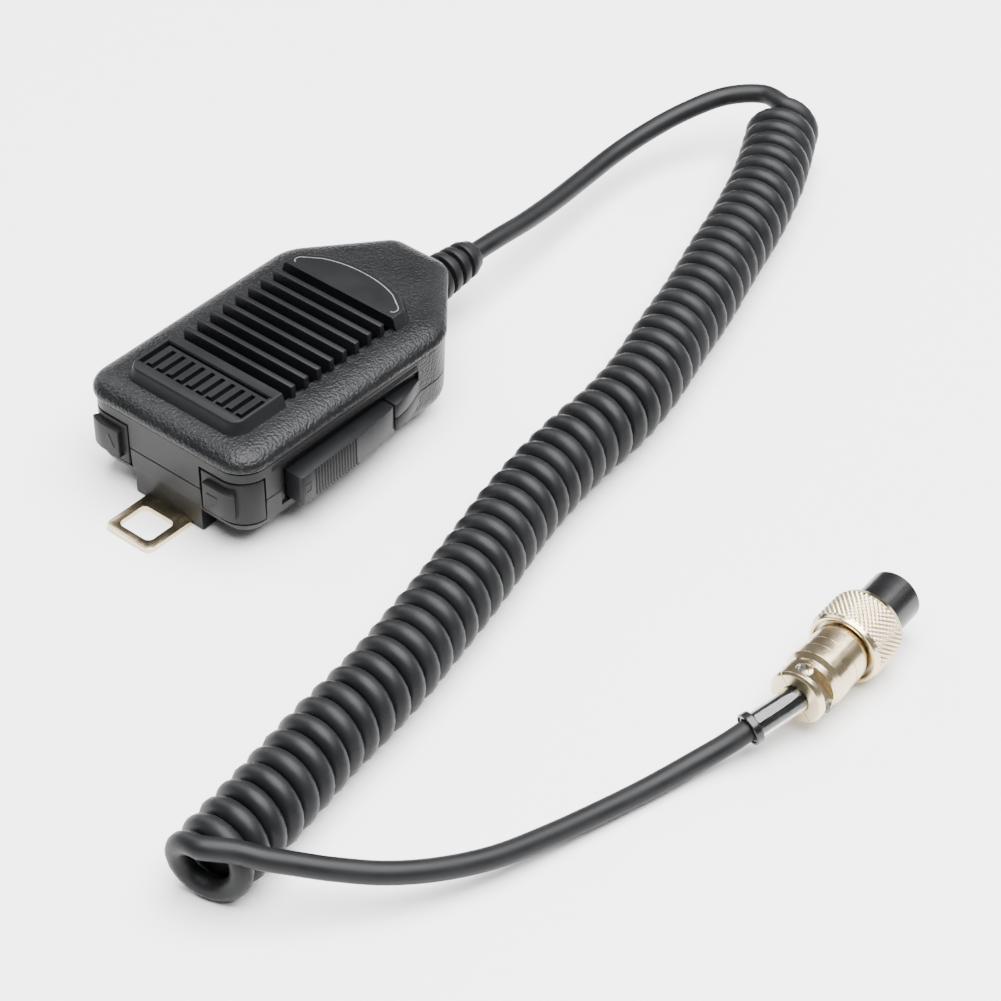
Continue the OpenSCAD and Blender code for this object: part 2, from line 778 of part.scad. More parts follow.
module case_screws() {
    color(steel)
    mirror_pair()
        for (p = [front_post, back_post])
            translate([p[0], p[1], screw_sink])
                difference() {
                    union() {
                        cylinder(h = screw_head_t, r = screw_head_r);
                        cylinder(h = parting_z + 6 - screw_sink, r = screw_r);
                    }
                    translate([0, 0, 0.3])
                        cube([3.2, 0.6, 1.2], center = true);
                    translate([0, 0, 0.3])
                        cube([0.6, 3.2, 1.2], center = true);
                }
}

// Key with its pad, pivot bar and stem, in the corner on the given side
module key(side) {
    color(black) {
        mirror([side < 0 ? 1 : 0, 0, 0]) {
            translate([0, 0, key_low_z])
                linear_extrude(key_h)
                    corner_wall(rim_step, rim_step + key_t, key_side_x, rim_half_w + 1, key_side_y);
            translate([0, 0, pad_low_z])
                linear_extrude(pad_high_z - pad_low_z)
                    corner_wall(rim_step - pad_proud, rim_step + key_t / 2, pad_side_x, pad_far_x, key_side_y);
        }
        at_corner(side) {
            translate([key_axis_in, -key_bar_half, key_axis_z])
                rotate([-90, 0, 0])
                    cylinder(h = 2 * key_bar_half, r = key_bar_r);
            for (y = [-2.2, 1.0])
                block(key_axis_in, key_flap_in + 0.3, y, y + 1.2, key_axis_z - 0.6, key_axis_z + 0.6);
            block(key_switch_face + plunger_out + press_gap, key_flap_in + 0.3, -1.1, 1.1,
                key_switch_z - 1.1, key_switch_z + 1.1);
        }
    }
}

module up_key() {
    key(-1);
}

module down_key() {
    key(1);
}

module ptt_lever() {
    tip_r = 1.0;
    color(black)
    difference() {
        union() {
            translate([0, 0, lever_low_z])
                linear_extrude(lever_h)
                    polygon(concat(
                        [[lever_inner_x, heel_y], [lever_inner_x, lever_tip_y]],
                        arc([lever_tip_x - tip_r, lever_tip_y + tip_r], tip_r, 270, 350, 5),
                        [[lever_tip_x - 0.1, lever_tip_y + rib_zone * 0.5],
                            [lever_tip_x - 0.35, lever_tip_y + rib_zone],
                            [(lever_tip_x + lever_heel_x) / 2 + 0.1, heel_y - 7], [lever_heel_x + 0.1, heel_y - 1],
                            [lever_heel_x - 0.4, heel_y]]));
            translate([pivot_x, pivot_y, lever_low_z])
                cylinder(h = lever_h, r = hub_r);
            block(pivot_x, lever_inner_x + past, pivot_y - hub_r + 0.3, pivot_y + hub_r - 0.3,
                lever_low_z, lever_high_z);
            block(lever_inner_x - 1.6, lever_inner_x + past, lever_tip_y + 1, lever_tip_y + 3,
                lever_low_z + 1, lever_high_z - 1);
        }
        translate([pivot_x, pivot_y, lever_low_z - past])
            cylinder(h = lever_h + 2 * past, r = pin_r + running_clear);
        for (i = [0 : rib_count - 1])
            block(lever_tip_x - 0.1 - rib_depth, lever_tip_x + past, lever_tip_y + 1.3 + i * rib_zone / rib_count,
                lever_tip_y + 1.3 + (i + 0.45) * rib_zone / rib_count, lever_low_z - past, lever_high_z + past);
    }
}

module lever_pin() {
    color(steel)
    translate([pivot_x, pivot_y, corner_z + 2.5])
        cylinder(h = lever_high_z + 5.4 - corner_z - 2.5, r = pin_r);
}

module lever_spring() {
    low = lever_high_z + 0.3;
    leg_x = pivot_x - spring_r;
    foot_z = low + spring_wire_r;
    top_leg_z = low + spring_turns * 0.5;
    color(steel) {
        translate([pivot_x, pivot_y, low])
            for (i = [0 : spring_turns - 1])
                translate([0, 0, spring_wire_r + i * 1.9 * spring_wire_r])
                    rotate_extrude()
                        translate([spring_r, 0])
                            circle(r = spring_wire_r, $fn = 16);
        rod([leg_x, pivot_y, foot_z], [leg_x, pivot_y - 7, foot_z], spring_wire_r);
        rod([leg_x, pivot_y, top_leg_z], [leg_x, pivot_y + 6, top_leg_z], spring_wire_r);
    }
}

module ptt_switch() {
    color(soft_black)
    difference() {
        block(switch_face_x - 6.4, switch_face_x, switch_y - 6.4, switch_y + 6.4, board_top_z, board_top_z + 6.2);
        translate([switch_face_x - 4.2, switch_y, switch_z])
            rotate([0, 90, 0])
                cylinder(h = 6, r = 1.3 + running_clear);
    }
}

module ptt_plunger() {
    color([0.7, 0.1, 0.1])
    translate([switch_face_x - 2.4, switch_y, switch_z])
        rotate([0, 90, 0])
            cylinder(h = lever_inner_x - press_gap - switch_face_x + 2.4, r = 1.3);
}

// Small push switch for a key
module key_switch(side) {
    color(soft_black)
    at_corner(side)
        difference() {
            block(key_switch_face - 4.6, key_switch_face, -3, 3, board_top_z, board_top_z + 5);
            translate([key_switch_face - 3.4, 0, key_switch_z])
                rotate([0, 90, 0])
                    cylinder(h = 5, r = 1.1 + running_clear);
        }
}

// Button of a key switch
module key_plunger(side) {
    color([0.85, 0.85, 0.82])
    at_corner(side)
        translate([key_switch_face - 2.2, 0, key_switch_z])
            rotate([0, 90, 0])
                cylinder(h = 2.2 + plunger_out, r = 1.1);
}

module up_switch() {
    key_switch(-1);
}

module up_plunger() {
    key_plunger(-1);
}

module down_switch() {
    key_switch(1);
}

module down_plunger() {
    key_plunger(1);
}

module circuit_board() {
    color(board_green)
    difference() {
        block(-board_half_w, board_half_w, board_front_y, board_back_y, board_z, board_top_z);
        block(pivot_x - hub_r - 0.7, board_half_w + past, pivot_y - hub_r - 1, board_back_y + past,
            board_z - past, board_top_z + past);
        mirror_pair()
            translate([front_post[0], front_post[1], board_z - past])
                cylinder(h = board_t + 2 * past, r = post_r + 0.3);
        for (p = board_posts)
            translate([p[0], p[1], board_z - past])
                cylinder(h = board_t + 2 * past, r = small_screw_r + 0.15);
    }
}

module board_screws() {
    color(steel)
    for (p = board_posts)
        translate([p[0], p[1], board_z - 4.6]) {
            cylinder(h = 4.6 + board_t, r = small_screw_r);
            translate([0, 0, 4.6 + board_t])
                cylinder(h = 1.2, r = 1.8);
        }
}

module capacitors() {
    color([0.12, 0.16, 0.30])
    for (p = [[-12, capsule_y - 9, 5.6], [-12, capsule_y - 1, 6.6], [9, capsule_y - 3, 5.0]])
        translate([p[0], p[1], board_top_z])
            cylinder(h = p[2], r = 2.5);
}

module transistors() {
    color([0.13, 0.13, 0.13])
    for (x = [-6, 0])
        translate([x, capsule_y - 16, board_top_z])
            intersection() {
                cylinder(h = 4.6, r = 2.3);
                block(-3, 3, -1.2, 3, 0, 5);
            }
}

module resistors() {
    color([0.75, 0.62, 0.42])
    for (i = [0 : 3])
        translate([-4 + 3.0 * i, board_back_y - 9.8, board_top_z + 0.9])
            rotate([-90, 0, 0])
                cylinder(h = 6, r = 0.9);
}

module mic_capsule() {
    color([0.75, 0.75, 0.76])
    translate([0, capsule_y, capsule_z])
        difference() {
            cylinder(h = felt_low_z - capsule_z - 0.1, r = capsule_r);
            translate([0, 0, felt_low_z - capsule_z - 0.8])
                cylinder(h = 2, r = 1.0);
        }
}

module capsule_holder() {
    color([0.14, 0.14, 0.14])
    difference() {
        union() {
            translate([0, capsule_y, capsule_z + 0.6])
                cylinder(h = felt_low_z - capsule_z - 0.6, r = capsule_r + holder_t);
            block(-capsule_r - 5, capsule_r + 5, capsule_y - 2, capsule_y + 2, felt_low_z - 1.4, felt_low_z);
        }
        translate([0, capsule_y, capsule_z - past])
            cylinder(h = 12, r = capsule_r + fit);
    }
}

module dust_felt() {
    color(felt_grey)
    block(-sound_half_w - 2, sound_half_w + 2, slat_start_y, name_near_y - slat_gap, felt_low_z, bed_z);
}

module capsule_wires() {
    color(wire_colours)
    for (x = [-1.6, 1.6])
        rod([x, capsule_y, capsule_z - 0.3], [x * 2, capsule_y + 3, board_top_z + 0.3], 0.5);
}

module core_wires() {
    color(wire_colours)
    for (i = [0 : 4])
        rod([(i - 2) * 0.9, tail_start_y - 0.3, cord_z + 0.6 - abs(i - 2) * 0.5],
            [(i - 2) * 2.6, board_back_y - 1.5, board_top_z + 0.4], 0.4);
}

// Strain relief with tapering ribs, seated in the end wall
module strain_relief() {
    pitch = (boot_l - boot_collar_l) / boot_grooves;
    groove = pitch * groove_share;
    core_r = boot_tip_r - 1.2;
    color(soft_black)
    translate([0, wall_back_y, cord_z])
        rotate([-90, 0, 0])
            difference() {
                union() {
                    translate([0, 0, -wall - flange_t - 0.1])
                        cylinder(h = flange_t, r = flange_r);
                    translate([0, 0, -wall - flange_t - 0.05])
                        cylinder(h = wall + flange_t + past, r = neck_r);
                    translate([0, 0, 0.05])
                        cylinder(h = boot_l - 1 - 0.05, r = core_r);
                    for (i = [0 : boot_grooves - 1])
                        translate([0, 0, max(0.05, i * pitch)])
                            cylinder(h = pitch - groove - (i == 0 ? 0.05 : 0),
                                r = boot_base_r - (boot_base_r - boot_tip_r) * i / boot_grooves);
                    translate([0, 0, boot_l - boot_collar_l])
                        rotate_extrude()
                            polygon([[0, 0], [boot_tip_r, 0], [boot_tip_r, 1.6], [boot_tip_r - 0.6, 2.8],
                                [boot_tip_r - 0.9, 4.0], [boot_tip_r - 1.4, boot_collar_l], [0, boot_collar_l]]);
                }
                translate([0, 0, -10])
                    cylinder(h = boot_l + 20, r = cord_r + fit);
            }
}

module cord_tail() {
    color(soft_black)
    bar_y(cord_r, tail_start_y, boot_end_y, cord_z);
}

module cord_clamp() {
    color(steel)
    difference() {
        block(-clamp_half_w, clamp_half_w, clamp_front_y + 0.2, clamp_front_y + clamp_w - 0.2,
            clamp_seat_z, cord_z + cord_r + 1.2);
        bar_y(cord_r + fit, clamp_front_y - past, clamp_front_y + clamp_w + past, cord_z);
        for (x = [-clamp_screw_x, clamp_screw_x])
            translate([x, clamp_front_y + clamp_w / 2, clamp_seat_z - past])
                cylinder(h = 12, r = small_screw_r + 0.1);
    }
}

module cord_clamp_screws() {
    high = cord_z + cord_r + 1.2;
    color(steel)
    for (x = [-clamp_screw_x, clamp_screw_x])
        translate([x, clamp_front_y + clamp_w / 2, clamp_seat_z - 5.6]) {
            cylinder(h = high - clamp_seat_z + 5.6, r = small_screw_r);
            translate([0, 0, high - clamp_seat_z + 5.6])
                cylinder(h = 1.2, r = 1.8);
        }
}

module upper_lead() {
    color(soft_black)
    tube(upper_route, cord_r, tube_sides);
}

module curly_cord() {
    color(soft_black)
    tube([for (p = coil_axis) [p[0], p[1], coil_r]], coil_r, coil_sides);
}

module lower_lead() {
    color(soft_black)
    tube(lower_route, cord_r, tube_sides);
}

module clear_sleeve() {
    last = len(lower_route) - 1;
    color(clear)
    pipe([for (i = [sleeve_from : last]) lower_route[i]], sleeve_r, sleeve_bore_r, tube_sides);
}

module sleeve_ring() {
    from = lower_route[sleeve_from];
    along = unit(lower_route[sleeve_from + 1] - from);
    color(black)
    difference() {
        rod(from - 0.3 * along, from + (ring_l - 0.3) * along, ring_r);
        rod(from - 2 * along, from + (ring_l + 2) * along, sleeve_r + 0.1);
    }
}

// Puts a shape on the plug's axis: local Z runs from the cord clamp to the contacts
module on_plug() {
    translate(plug_at)
        rotate([0, 0, plug_yaw])
            rotate([-90, 0, 0])
                children();
}

// Round ring on the plug's axis
module plug_ring(from, to, inner, outer) {
    translate([0, 0, from])
        difference() {
            cylinder(h = to - from, r = outer, $fn = 96);
            translate([0, 0, -past])
                cylinder(h = to - from + 2 * past, r = inner, $fn = 96);
        }
}

// Round collar with flats that the two halves of the clamp are cut from
module clamp_collar(length) {
    difference() {
        union() {
            cylinder(h = clamp_edge, r1 = clamp_r - clamp_edge, r2 = clamp_r, $fn = 96);
            translate([0, 0, clamp_edge])
                cylinder(h = length - clamp_edge, r = clamp_r, $fn = 96);
        }
        for (side = [0, 180])
            rotate([0, 0, side])
                translate([-clamp_r, clamp_flat, 2 * clamp_edge + 0.3])
                    cube([2 * clamp_r, clamp_r, clamp_l - 2 * clamp_edge - 1.5]);
    }
}

module plug_shell() {
    color(nickel)
    on_plug()
        difference() {
            union() {
                rotate([0, 0, clamp_turn])
                    clamp_collar(clamp_l);
                translate([0, 0, clamp_l - tiny])
                    cylinder(h = neck_l + 2 * tiny, r = shell_r - 1.0, $fn = 96);
                translate([0, 0, clamp_l + neck_l])
                    cylinder(h = 1.1, r1 = shell_r - 1.0, r2 = band_r, $fn = 96);
                translate([0, 0, clamp_l + neck_l + 1.1 - tiny])
                    cylinder(h = shell_end - clamp_l - neck_l - 1.1 + tiny, r = shell_r - 0.15, $fn = 96);
                translate([0, 0, clamp_l + neck_l + 1.1 - tiny])
                    cylinder(h = 3.0, r = band_r, $fn = 96);
                translate([0, 0, clamp_l + neck_l + 4.5])
                    cylinder(h = 2.6, r = shell_r, $fn = 96);
                translate([0, 0, clamp_l + neck_l + 7.3])
                    cylinder(h = 3.9, r = shell_r, $fn = 96);
            }
            translate([0, 0, -past])
                cylinder(h = clamp_l + 2 * past, r = clamp_bore_r);
            translate([0, 0, clamp_l + neck_l])
                cylinder(h = shell_end, r = insert_r - 0.6);
            translate([0, 0, insert_start])
                cylinder(h = shell_end, r = insert_r - insert_step + fit);
            plug_ring(ring_at - 0.02, ring_at + ring_t + 0.02, shell_r - 0.15 - ring_groove, shell_r + past);
            rotate([0, 0, clamp_turn]) {
                translate([-clamp_r - past, -clamp_r - past, -past])
                    cube([2 * clamp_r + 2 * past, clamp_r + past, clamp_l + past]);
                for (x = [-clamp_screw_x, clamp_screw_x])
                    translate([x, past, clamp_l / 2])
                        rotate([90, 0, 0])
                            cylinder(h = 2 * past + 3, r = clamp_screw_r + fit, center = true);
            }
        }
}

module plug_clamp_half() {
    color(nickel)
    on_plug()
        rotate([0, 0, clamp_turn])
            difference() {
                clamp_collar(clamp_l - clamp_slot);
                translate([0, 0, -past])
                    cylinder(h = clamp_l + 2 * past, r = clamp_bore_r);
                translate([-clamp_r - past, -clamp_split, -past])
                    cube([2 * clamp_r + 2 * past, clamp_r + past, clamp_l + 2 * past]);
                for (x = [-clamp_screw_x, clamp_screw_x])
                    translate([x, -2.6, clamp_l / 2]) {
                        rotate([90, 0, 0])
                            cylinder(h = 8, r = 1.5);
                        translate([0, 4, 0])
                            rotate([90, 0, 0])
                                cylinder(h = 8, r = clamp_screw_r + 0.1);
                    }
            }
}

module plug_clamp_screws() {
    color(steel)
    on_plug()
        rotate([0, 0, clamp_turn])
            for (x = [-clamp_screw_x, clamp_screw_x])
                translate([x, 0, clamp_l / 2])
                    rotate([90, 0, 0]) {
                        translate([0, 0, -2.2])
                            cylinder(h = 4.8, r = clamp_screw_r);
                        translate([0, 0, 2.62])
                            difference() {
                                cylinder(h = 1.2, r = 1.4);
                                translate([0, 0, 1.2])
                                    cube([2.2, 0.4, 0.9], center = true);
                            }
                    }
}

module coupling_nut() {
    rim = 1.2;
    color(nickel)
    on_plug()
        difference() {
            union() {
                plug_ring(nut_start, nut_end, thread_r, nut_r - 0.6);
                plug_ring(nut_start + rim, nut_end - rim, thread_r, nut_r);
                plug_ring(nut_start, nut_start + lip_t, lip_r, nut_r - 0.6);
            }
            for (a = [0 : 12 : 359])
                rotate([0, 0, a])
                    translate([nut_r, 0, nut_start + rim + 0.4])
                        rotate([0, 0, 45])
                            translate([-knurl_depth, -knurl_depth, 0])
                                cube([2 * knurl_depth, 2 * knurl_depth, nut_l - 2 * rim - 0.8]);
            translate([0, 0, nut_start + lip_t])
                cylinder(h = chamber_end - nut_start - lip_t, r = chamber_r, $fn = 96);
        }
}

module nut_washer() {
    color(nickel)
    on_plug()
        plug_ring(chamber_end - washer_t - 0.05, chamber_end - 0.05, shell_r + 0.1, chamber_r - 0.06);
}

module nut_ring() {
    color(steel)
    on_plug()
        difference() {
            plug_ring(ring_at, ring_at + ring_t, shell_r - 0.15 - ring_groove + fit, ring_out_r);
            translate([-0.8, 0, ring_at - past])
                cube([1.6, 12, ring_t + 2 * past]);
        }
}

module plug_insert() {
    color(black)
    on_plug()
        difference() {
            union() {
                translate([0, 0, insert_start])
                    cylinder(h = nut_end - insert_start + tiny, r = insert_r - insert_step, $fn = 96);
                translate([0, 0, nut_end])
                    cylinder(h = insert_out - 0.5, r = insert_r, $fn = 96);
                translate([0, 0, insert_end - 0.5 - tiny])
                    cylinder(h = 0.5 + tiny, r1 = insert_r, r2 = insert_r - 0.45, $fn = 96);
            }
            each_contact()
                translate([0, 0, insert_start - past])
                    cylinder(h = insert_end, r = contact_r + fit);
            translate([-1.1, insert_r - 0.9, nut_end - 2])
                cube([2.2, 3, insert_end]);
        }
}

// One contact on the centre line and the others on a ring
module each_contact() {
    children();
    for (i = [1 : contact_count - 1])
        rotate([0, 0, 90 + 360 * i / (contact_count - 1) + 180 / (contact_count - 1)])
            translate([contact_ring_r, 0, 0])
                children();
}

module plug_contacts() {
    color(brass)
    on_plug()
        each_contact()
            difference() {
                translate([0, 0, insert_start - 3])
                    cylinder(h = insert_end - insert_start + 2.4, r = contact_r, $fn = 24);
                translate([0, 0, insert_end - 8])
                    cylinder(h = 9, r = contact_r - 0.28, $fn = 24);
            }
}

module plug_wires() {
    cable_end = clamp_l - 1;
    color(wire_colours)
    on_plug()
        for (i = [1 : contact_count - 1]) {
            a = 90 + 360 * i / (contact_count - 1) + 180 / (contact_count - 1);
            rod([1.4 * cos(a), 1.4 * sin(a), cable_end],
                [contact_ring_r * cos(a), contact_ring_r * sin(a), insert_start - 3.3], 0.42);
        }
    color(soft_black)
    on_plug()
        translate([0, 0, 2.1])
            cylinder(h = cable_end - 2.1, r = cord_r);
}

front_case();
back_case();
hanger_plate();
hanger_screws();
case_screws();
up_key();
down_key();
ptt_lever();
lever_pin();
lever_spring();
ptt_switch();
ptt_plunger();
up_switch();
up_plunger();
down_switch();
down_plunger();
circuit_board();
board_screws();
capacitors();
transistors();
resistors();
mic_capsule();
capsule_holder();
dust_felt();
capsule_wires();
core_wires();
strain_relief();
cord_tail();
cord_clamp();
cord_clamp_screws();
upper_lead();
curly_cord();
lower_lead();
clear_sleeve();
sleeve_ring();
plug_shell();
plug_clamp_half();
plug_clamp_screws();
coupling_nut();
nut_washer();
nut_ring();
plug_insert();
plug_contacts();
plug_wires();
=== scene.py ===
"""Hand microphone with a curly cord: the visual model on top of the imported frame."""
import math
import bmesh
import bpy
from mathutils import Matrix, Vector


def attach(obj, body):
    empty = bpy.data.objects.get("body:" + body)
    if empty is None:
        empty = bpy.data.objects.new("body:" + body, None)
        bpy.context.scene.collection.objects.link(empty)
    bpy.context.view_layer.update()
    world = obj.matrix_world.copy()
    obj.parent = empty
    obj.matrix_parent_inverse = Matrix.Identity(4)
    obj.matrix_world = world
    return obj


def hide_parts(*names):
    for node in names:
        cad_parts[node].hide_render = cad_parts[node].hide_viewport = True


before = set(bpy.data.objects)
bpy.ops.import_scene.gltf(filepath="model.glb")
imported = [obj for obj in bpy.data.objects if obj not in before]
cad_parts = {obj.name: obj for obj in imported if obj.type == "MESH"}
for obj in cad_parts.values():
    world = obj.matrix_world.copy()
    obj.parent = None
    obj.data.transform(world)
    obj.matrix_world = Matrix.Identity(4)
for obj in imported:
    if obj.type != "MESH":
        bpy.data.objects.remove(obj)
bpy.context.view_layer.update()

MM = 0.001
TAU = 2 * math.pi

# ---------------------------------------------------------------- sizes, in millimetres
RIM_HALF_W = 27.4
RIM_FRONT = 47.4
RIM_BACK = 46.4
SHOULDER_RUN = 22.0
END_HALF_W = 8.6
CORNER_R = 8.0
SHOULDER_R = 12.0
END_R = 6.0
RIM_STEP = 0.7
WALL = 1.9
PARTING_Z = 13.8
CORNER_Z = 4.0
GRILLE_HALF_W = 18.0
GRILLE_Z = 32.0
SLAT_COUNT = 8
SLAT_PITCH = 4.47
SLAT_T = 1.5
COMB_NEAR_Y = -39.6
COMB_FAR_Y = -23.7
SLAT_START_Y = COMB_FAR_Y + SLAT_PITCH - SLAT_T
NAME_NEAR_Y = SLAT_START_Y + SLAT_COUNT * SLAT_PITCH
NAME_FAR_Y = NAME_NEAR_Y + 10.6
NAME_BOW = 4.7
COMB_COUNT = 11
COMB_PITCH = 3.3
COMB_SLOT_W = 1.4
LEVER_Z = 14.0
LEVER_H = 8.0
LEVER_TIP_Y = -32.0
HEEL_Y = 2.6
LEVER_TIP_X = RIM_HALF_W + 3.9
LEVER_HEEL_X = RIM_HALF_W + 2.1
LEVER_GAP = 0.55
RAMP_L = 11.4
WALL_HALF_W = RIM_HALF_W - RIM_STEP
WALL_BACK_Y = RIM_BACK - RIM_STEP
KEY_LOW_Z = 8.3
KEY_TOP_Z = 20.3
KEY_SIDE_X = 12.4
KEY_SIDE_Y = -39.8
KEY_GAP = 0.6
PAD_PROUD = 1.6
CORNER_X = RIM_HALF_W - CORNER_R
CORNER_Y = -(RIM_FRONT - CORNER_R)
HANGER_W = 15.2
HANGER_T = 1.3
HANGER_TIP_Y = -(RIM_FRONT + 13.4)
CORD_D = 5.3
CORD_Z = 15.0
COIL_R = 10.0
COIL_TURNS = 53
BOOT_L = 19.8
BOOT_END_Y = WALL_BACK_Y + BOOT_L
BOOT_BASE_R = 6.5
BOOT_TIP_R = 5.1
BOOT_GROOVES = 4
PLUG_AT = (159.2, -9.0, 9.6)
PLUG_YAW = 4.0
NUT_R = 9.5
NUT_START = 19.5
NUT_END = 31.4
LOWEST_CUT_Z = -1.0      # cuts that open downwards start here
OUTSIDE_X = 40.0         # cuts that open sideways end here
KEY_OUT_R = 7.3
KEY_IN_R = 5.8
PAD_IN_R = 6.8
PAD_SIDE_X = 14.1
PAD_LOW_Z = 10.2
PAD_TOP_Z = 18.4
PLATE_LOW_Z = 27.0       # floor of the recess under the grille
TRAY_HALF_W = 17.2
TRAY_DEPTH = 0.28
COMB_NEAR_END_Y = -36.5  # comb slots run from here
COMB_FAR_END_Y = -28.5
COMB_FOOT_Y = -35.6
COMB_GROOVE_Y = (-27.5, -26.6)
SOUND_SLOT_HALF_W = 13.0
SOUND_SLOT_HALF_L = 0.8
BEADS = ((22.05, 0.26), (21.35, 0.2))  # height and radius of each bead
BEAD_START_Y = -37.0
BEAD_L = 51.0
CASE_SCREWS = ((14.0, -30.0), (-14.0, -30.0), (10.5, 32.0), (-10.5, 32.0))
HANGER_SCREW_Y = (-40.2, -29.2)
HANGER_BACK_Y = -23.4
WINDOW_HALF_W = 5.3
RIB_START = 4.6          # first grip rib from the lever's tip
RIB_PITCH = 1.02
RIB_END_Y = -13.0
SLEEVE_OUT_R = 3.4
SLEEVE_IN_R = 2.85
KNURL_AROUND = 44
KNURL_ROWS = 54
KNURL_PITCH = 1.5
KNURL_DEPTH = 0.42
THREAD_PITCH = 0.8

# Cord routes, the same points as the model's
UPPER_ROUTE = [
    (0, BOOT_END_Y, CORD_Z), (0, 76, 14.6), (-0.8, 88, 13), (-2.2, 101, 11.6), (-3.6, 115, 11),
    (-4.2, 129, 11.4), (-2.8, 142, 12.8), (0.6, 154, 14.8), (6, 165, 16.6), (14, 172, 17.2),
]
COIL_AXIS = [
    (22, 171), (33, 150), (41, 130), (47, 111), (53, 93), (58, 75), (63, 58), (66, 42), (67, 27),
    (69, 12), (72, -3), (76, -18), (79.5, -32), (82.5, -46), (85.5, -60), (87.5, -73), (89, -86),
    (91, -98), (93, -110), (94.5, -121), (96, -132),
]
LOWER_ROUTE = [
    (102, -127.5, 16.6), (107, -124.3, 15.4), (112, -120, 13.8), (118, -114.5, 11.8),
    (125.5, -107, 9.8), (132, -97.5, 7.8), (137.3, -86, 5.8), (141, -73, 4.2), (144.3, -60, 3.2),
    (147.8, -46.5, 2.9), (151.2, -34, 3.8), (153.8, -27, 5.4), (155.8, -21.5, 7.2), (157.4, -16, 8.4),
    (158.6, -12, 9.3), (159.2, -9, 9.6), (159.1, -7, 9.6),
]
SLEEVE_POINTS = 5


# ---------------------------------------------------------------- camera
def add_camera():
    data = bpy.data.cameras.new("camera")
    data.lens = 114.3
    data.sensor_width = 36.0
    data.clip_start = 0.01
    camera = bpy.data.objects.new("camera", data)
    bpy.context.scene.collection.objects.link(camera)
    camera.location = Vector((0.43976, -0.43788, 0.49944))
    target = Vector((0.05808, 0.00872, 0.0))
    camera.rotation_euler = (target - camera.location).to_track_quat("-Z", "Y").to_euler()
    bpy.context.scene.camera = camera


# ---------------------------------------------------------------- node materials
class Nodes:
    """Small helper for building a node tree."""

    def __init__(self, name):
        self.material = bpy.data.materials.new(name)
        self.material.use_nodes = True
        self.tree = self.material.node_tree
        self.shader = self.tree.nodes["Principled BSDF"]

    def add(self, kind):
        return self.tree.nodes.new(kind)

    def link(self, out, into):
        self.tree.links.new(out, into)

    def math(self, operation, a, b):
        node = self.add("ShaderNodeMath")
        node.operation = operation
        for i, value in enumerate((a, b)):
            if isinstance(value, (int, float)):
                node.inputs[i].default_value = value
            else:
                self.link(value, node.inputs[i])
        return node.outputs[0]

    def coords(self):
        return self.add("ShaderNodeTexCoord").outputs["Object"]

    def noise(self, scale, detail=3.0, roughness=0.55):
        node = self.add("ShaderNodeTexNoise")
        node.inputs["Scale"].default_value = scale
        node.inputs["Detail"].default_value = detail
        node.inputs["Roughness"].default_value = roughness
        self.link(self.coords(), node.inputs["Vector"])
        return node.outputs["Fac"]

    def ramp(self, value, stops):
        node = self.add("ShaderNodeValToRGB")
        elements = node.color_ramp.elements
        while len(elements) < len(stops):
            elements.new(0.5)
        for element, (at, colour) in zip(elements, stops):
            element.position = at
            element.color = (*colour, 1.0)
        self.link(value, node.inputs["Fac"])
        return node.outputs["Color"]

    def spread(self, value, low, high, to_low, to_high):
        node = self.add("ShaderNodeMapRange")
        limits = {"From Min": low, "From Max": high, "To Min": to_low, "To Max": to_high}
        for key, number in limits.items():
            node.inputs[key].default_value = number
        self.link(value, node.inputs["Value"])
        return node.outputs["Result"]

    def colour(self, value, dark, light, end=0.7):
        """Base colour that goes from dark to light with the value."""
        self.link(self.ramp(value, [(0.3, dark), (end, light)]), self.shader.inputs["Base Color"])

    def soft_edges(self, radius):
        node = self.add("ShaderNodeBevel")
        node.samples = 4
        node.inputs["Radius"].default_value = radius
        return node.outputs["Normal"]

    def bump(self, height, strength, distance, normal=None):
        node = self.add("ShaderNodeBump")
        node.inputs["Strength"].default_value = strength
        node.inputs["Distance"].default_value = distance
        self.link(height, node.inputs["Height"])
        if normal is not None:
            self.link(normal, node.inputs["Normal"])
        return node.outputs["Normal"]


def plastic(name, colour, roughness, grain=0.00002, specular=0.5, edge=0.00022, streak=0.12):
    """Moulded plastic: fine sparkle grain, slow colour change, edges rounded in the shading."""
    n = Nodes(name)
    slow = n.noise(90.0, 4.0)
    fine = n.noise(2600.0, 2.0, 0.6)
    dark = tuple(c * (1 - streak) for c in colour)
    light = tuple(c * (1 + streak) for c in colour)
    n.colour(slow, dark, light)
    n.link(n.spread(slow, 0.3, 0.7, roughness - 0.05, roughness + 0.06), n.shader.inputs["Roughness"])
    n.shader.inputs["Specular IOR Level"].default_value = specular
    n.link(n.bump(fine, 0.6, grain, n.soft_edges(edge)), n.shader.inputs["Normal"])
    return n.material


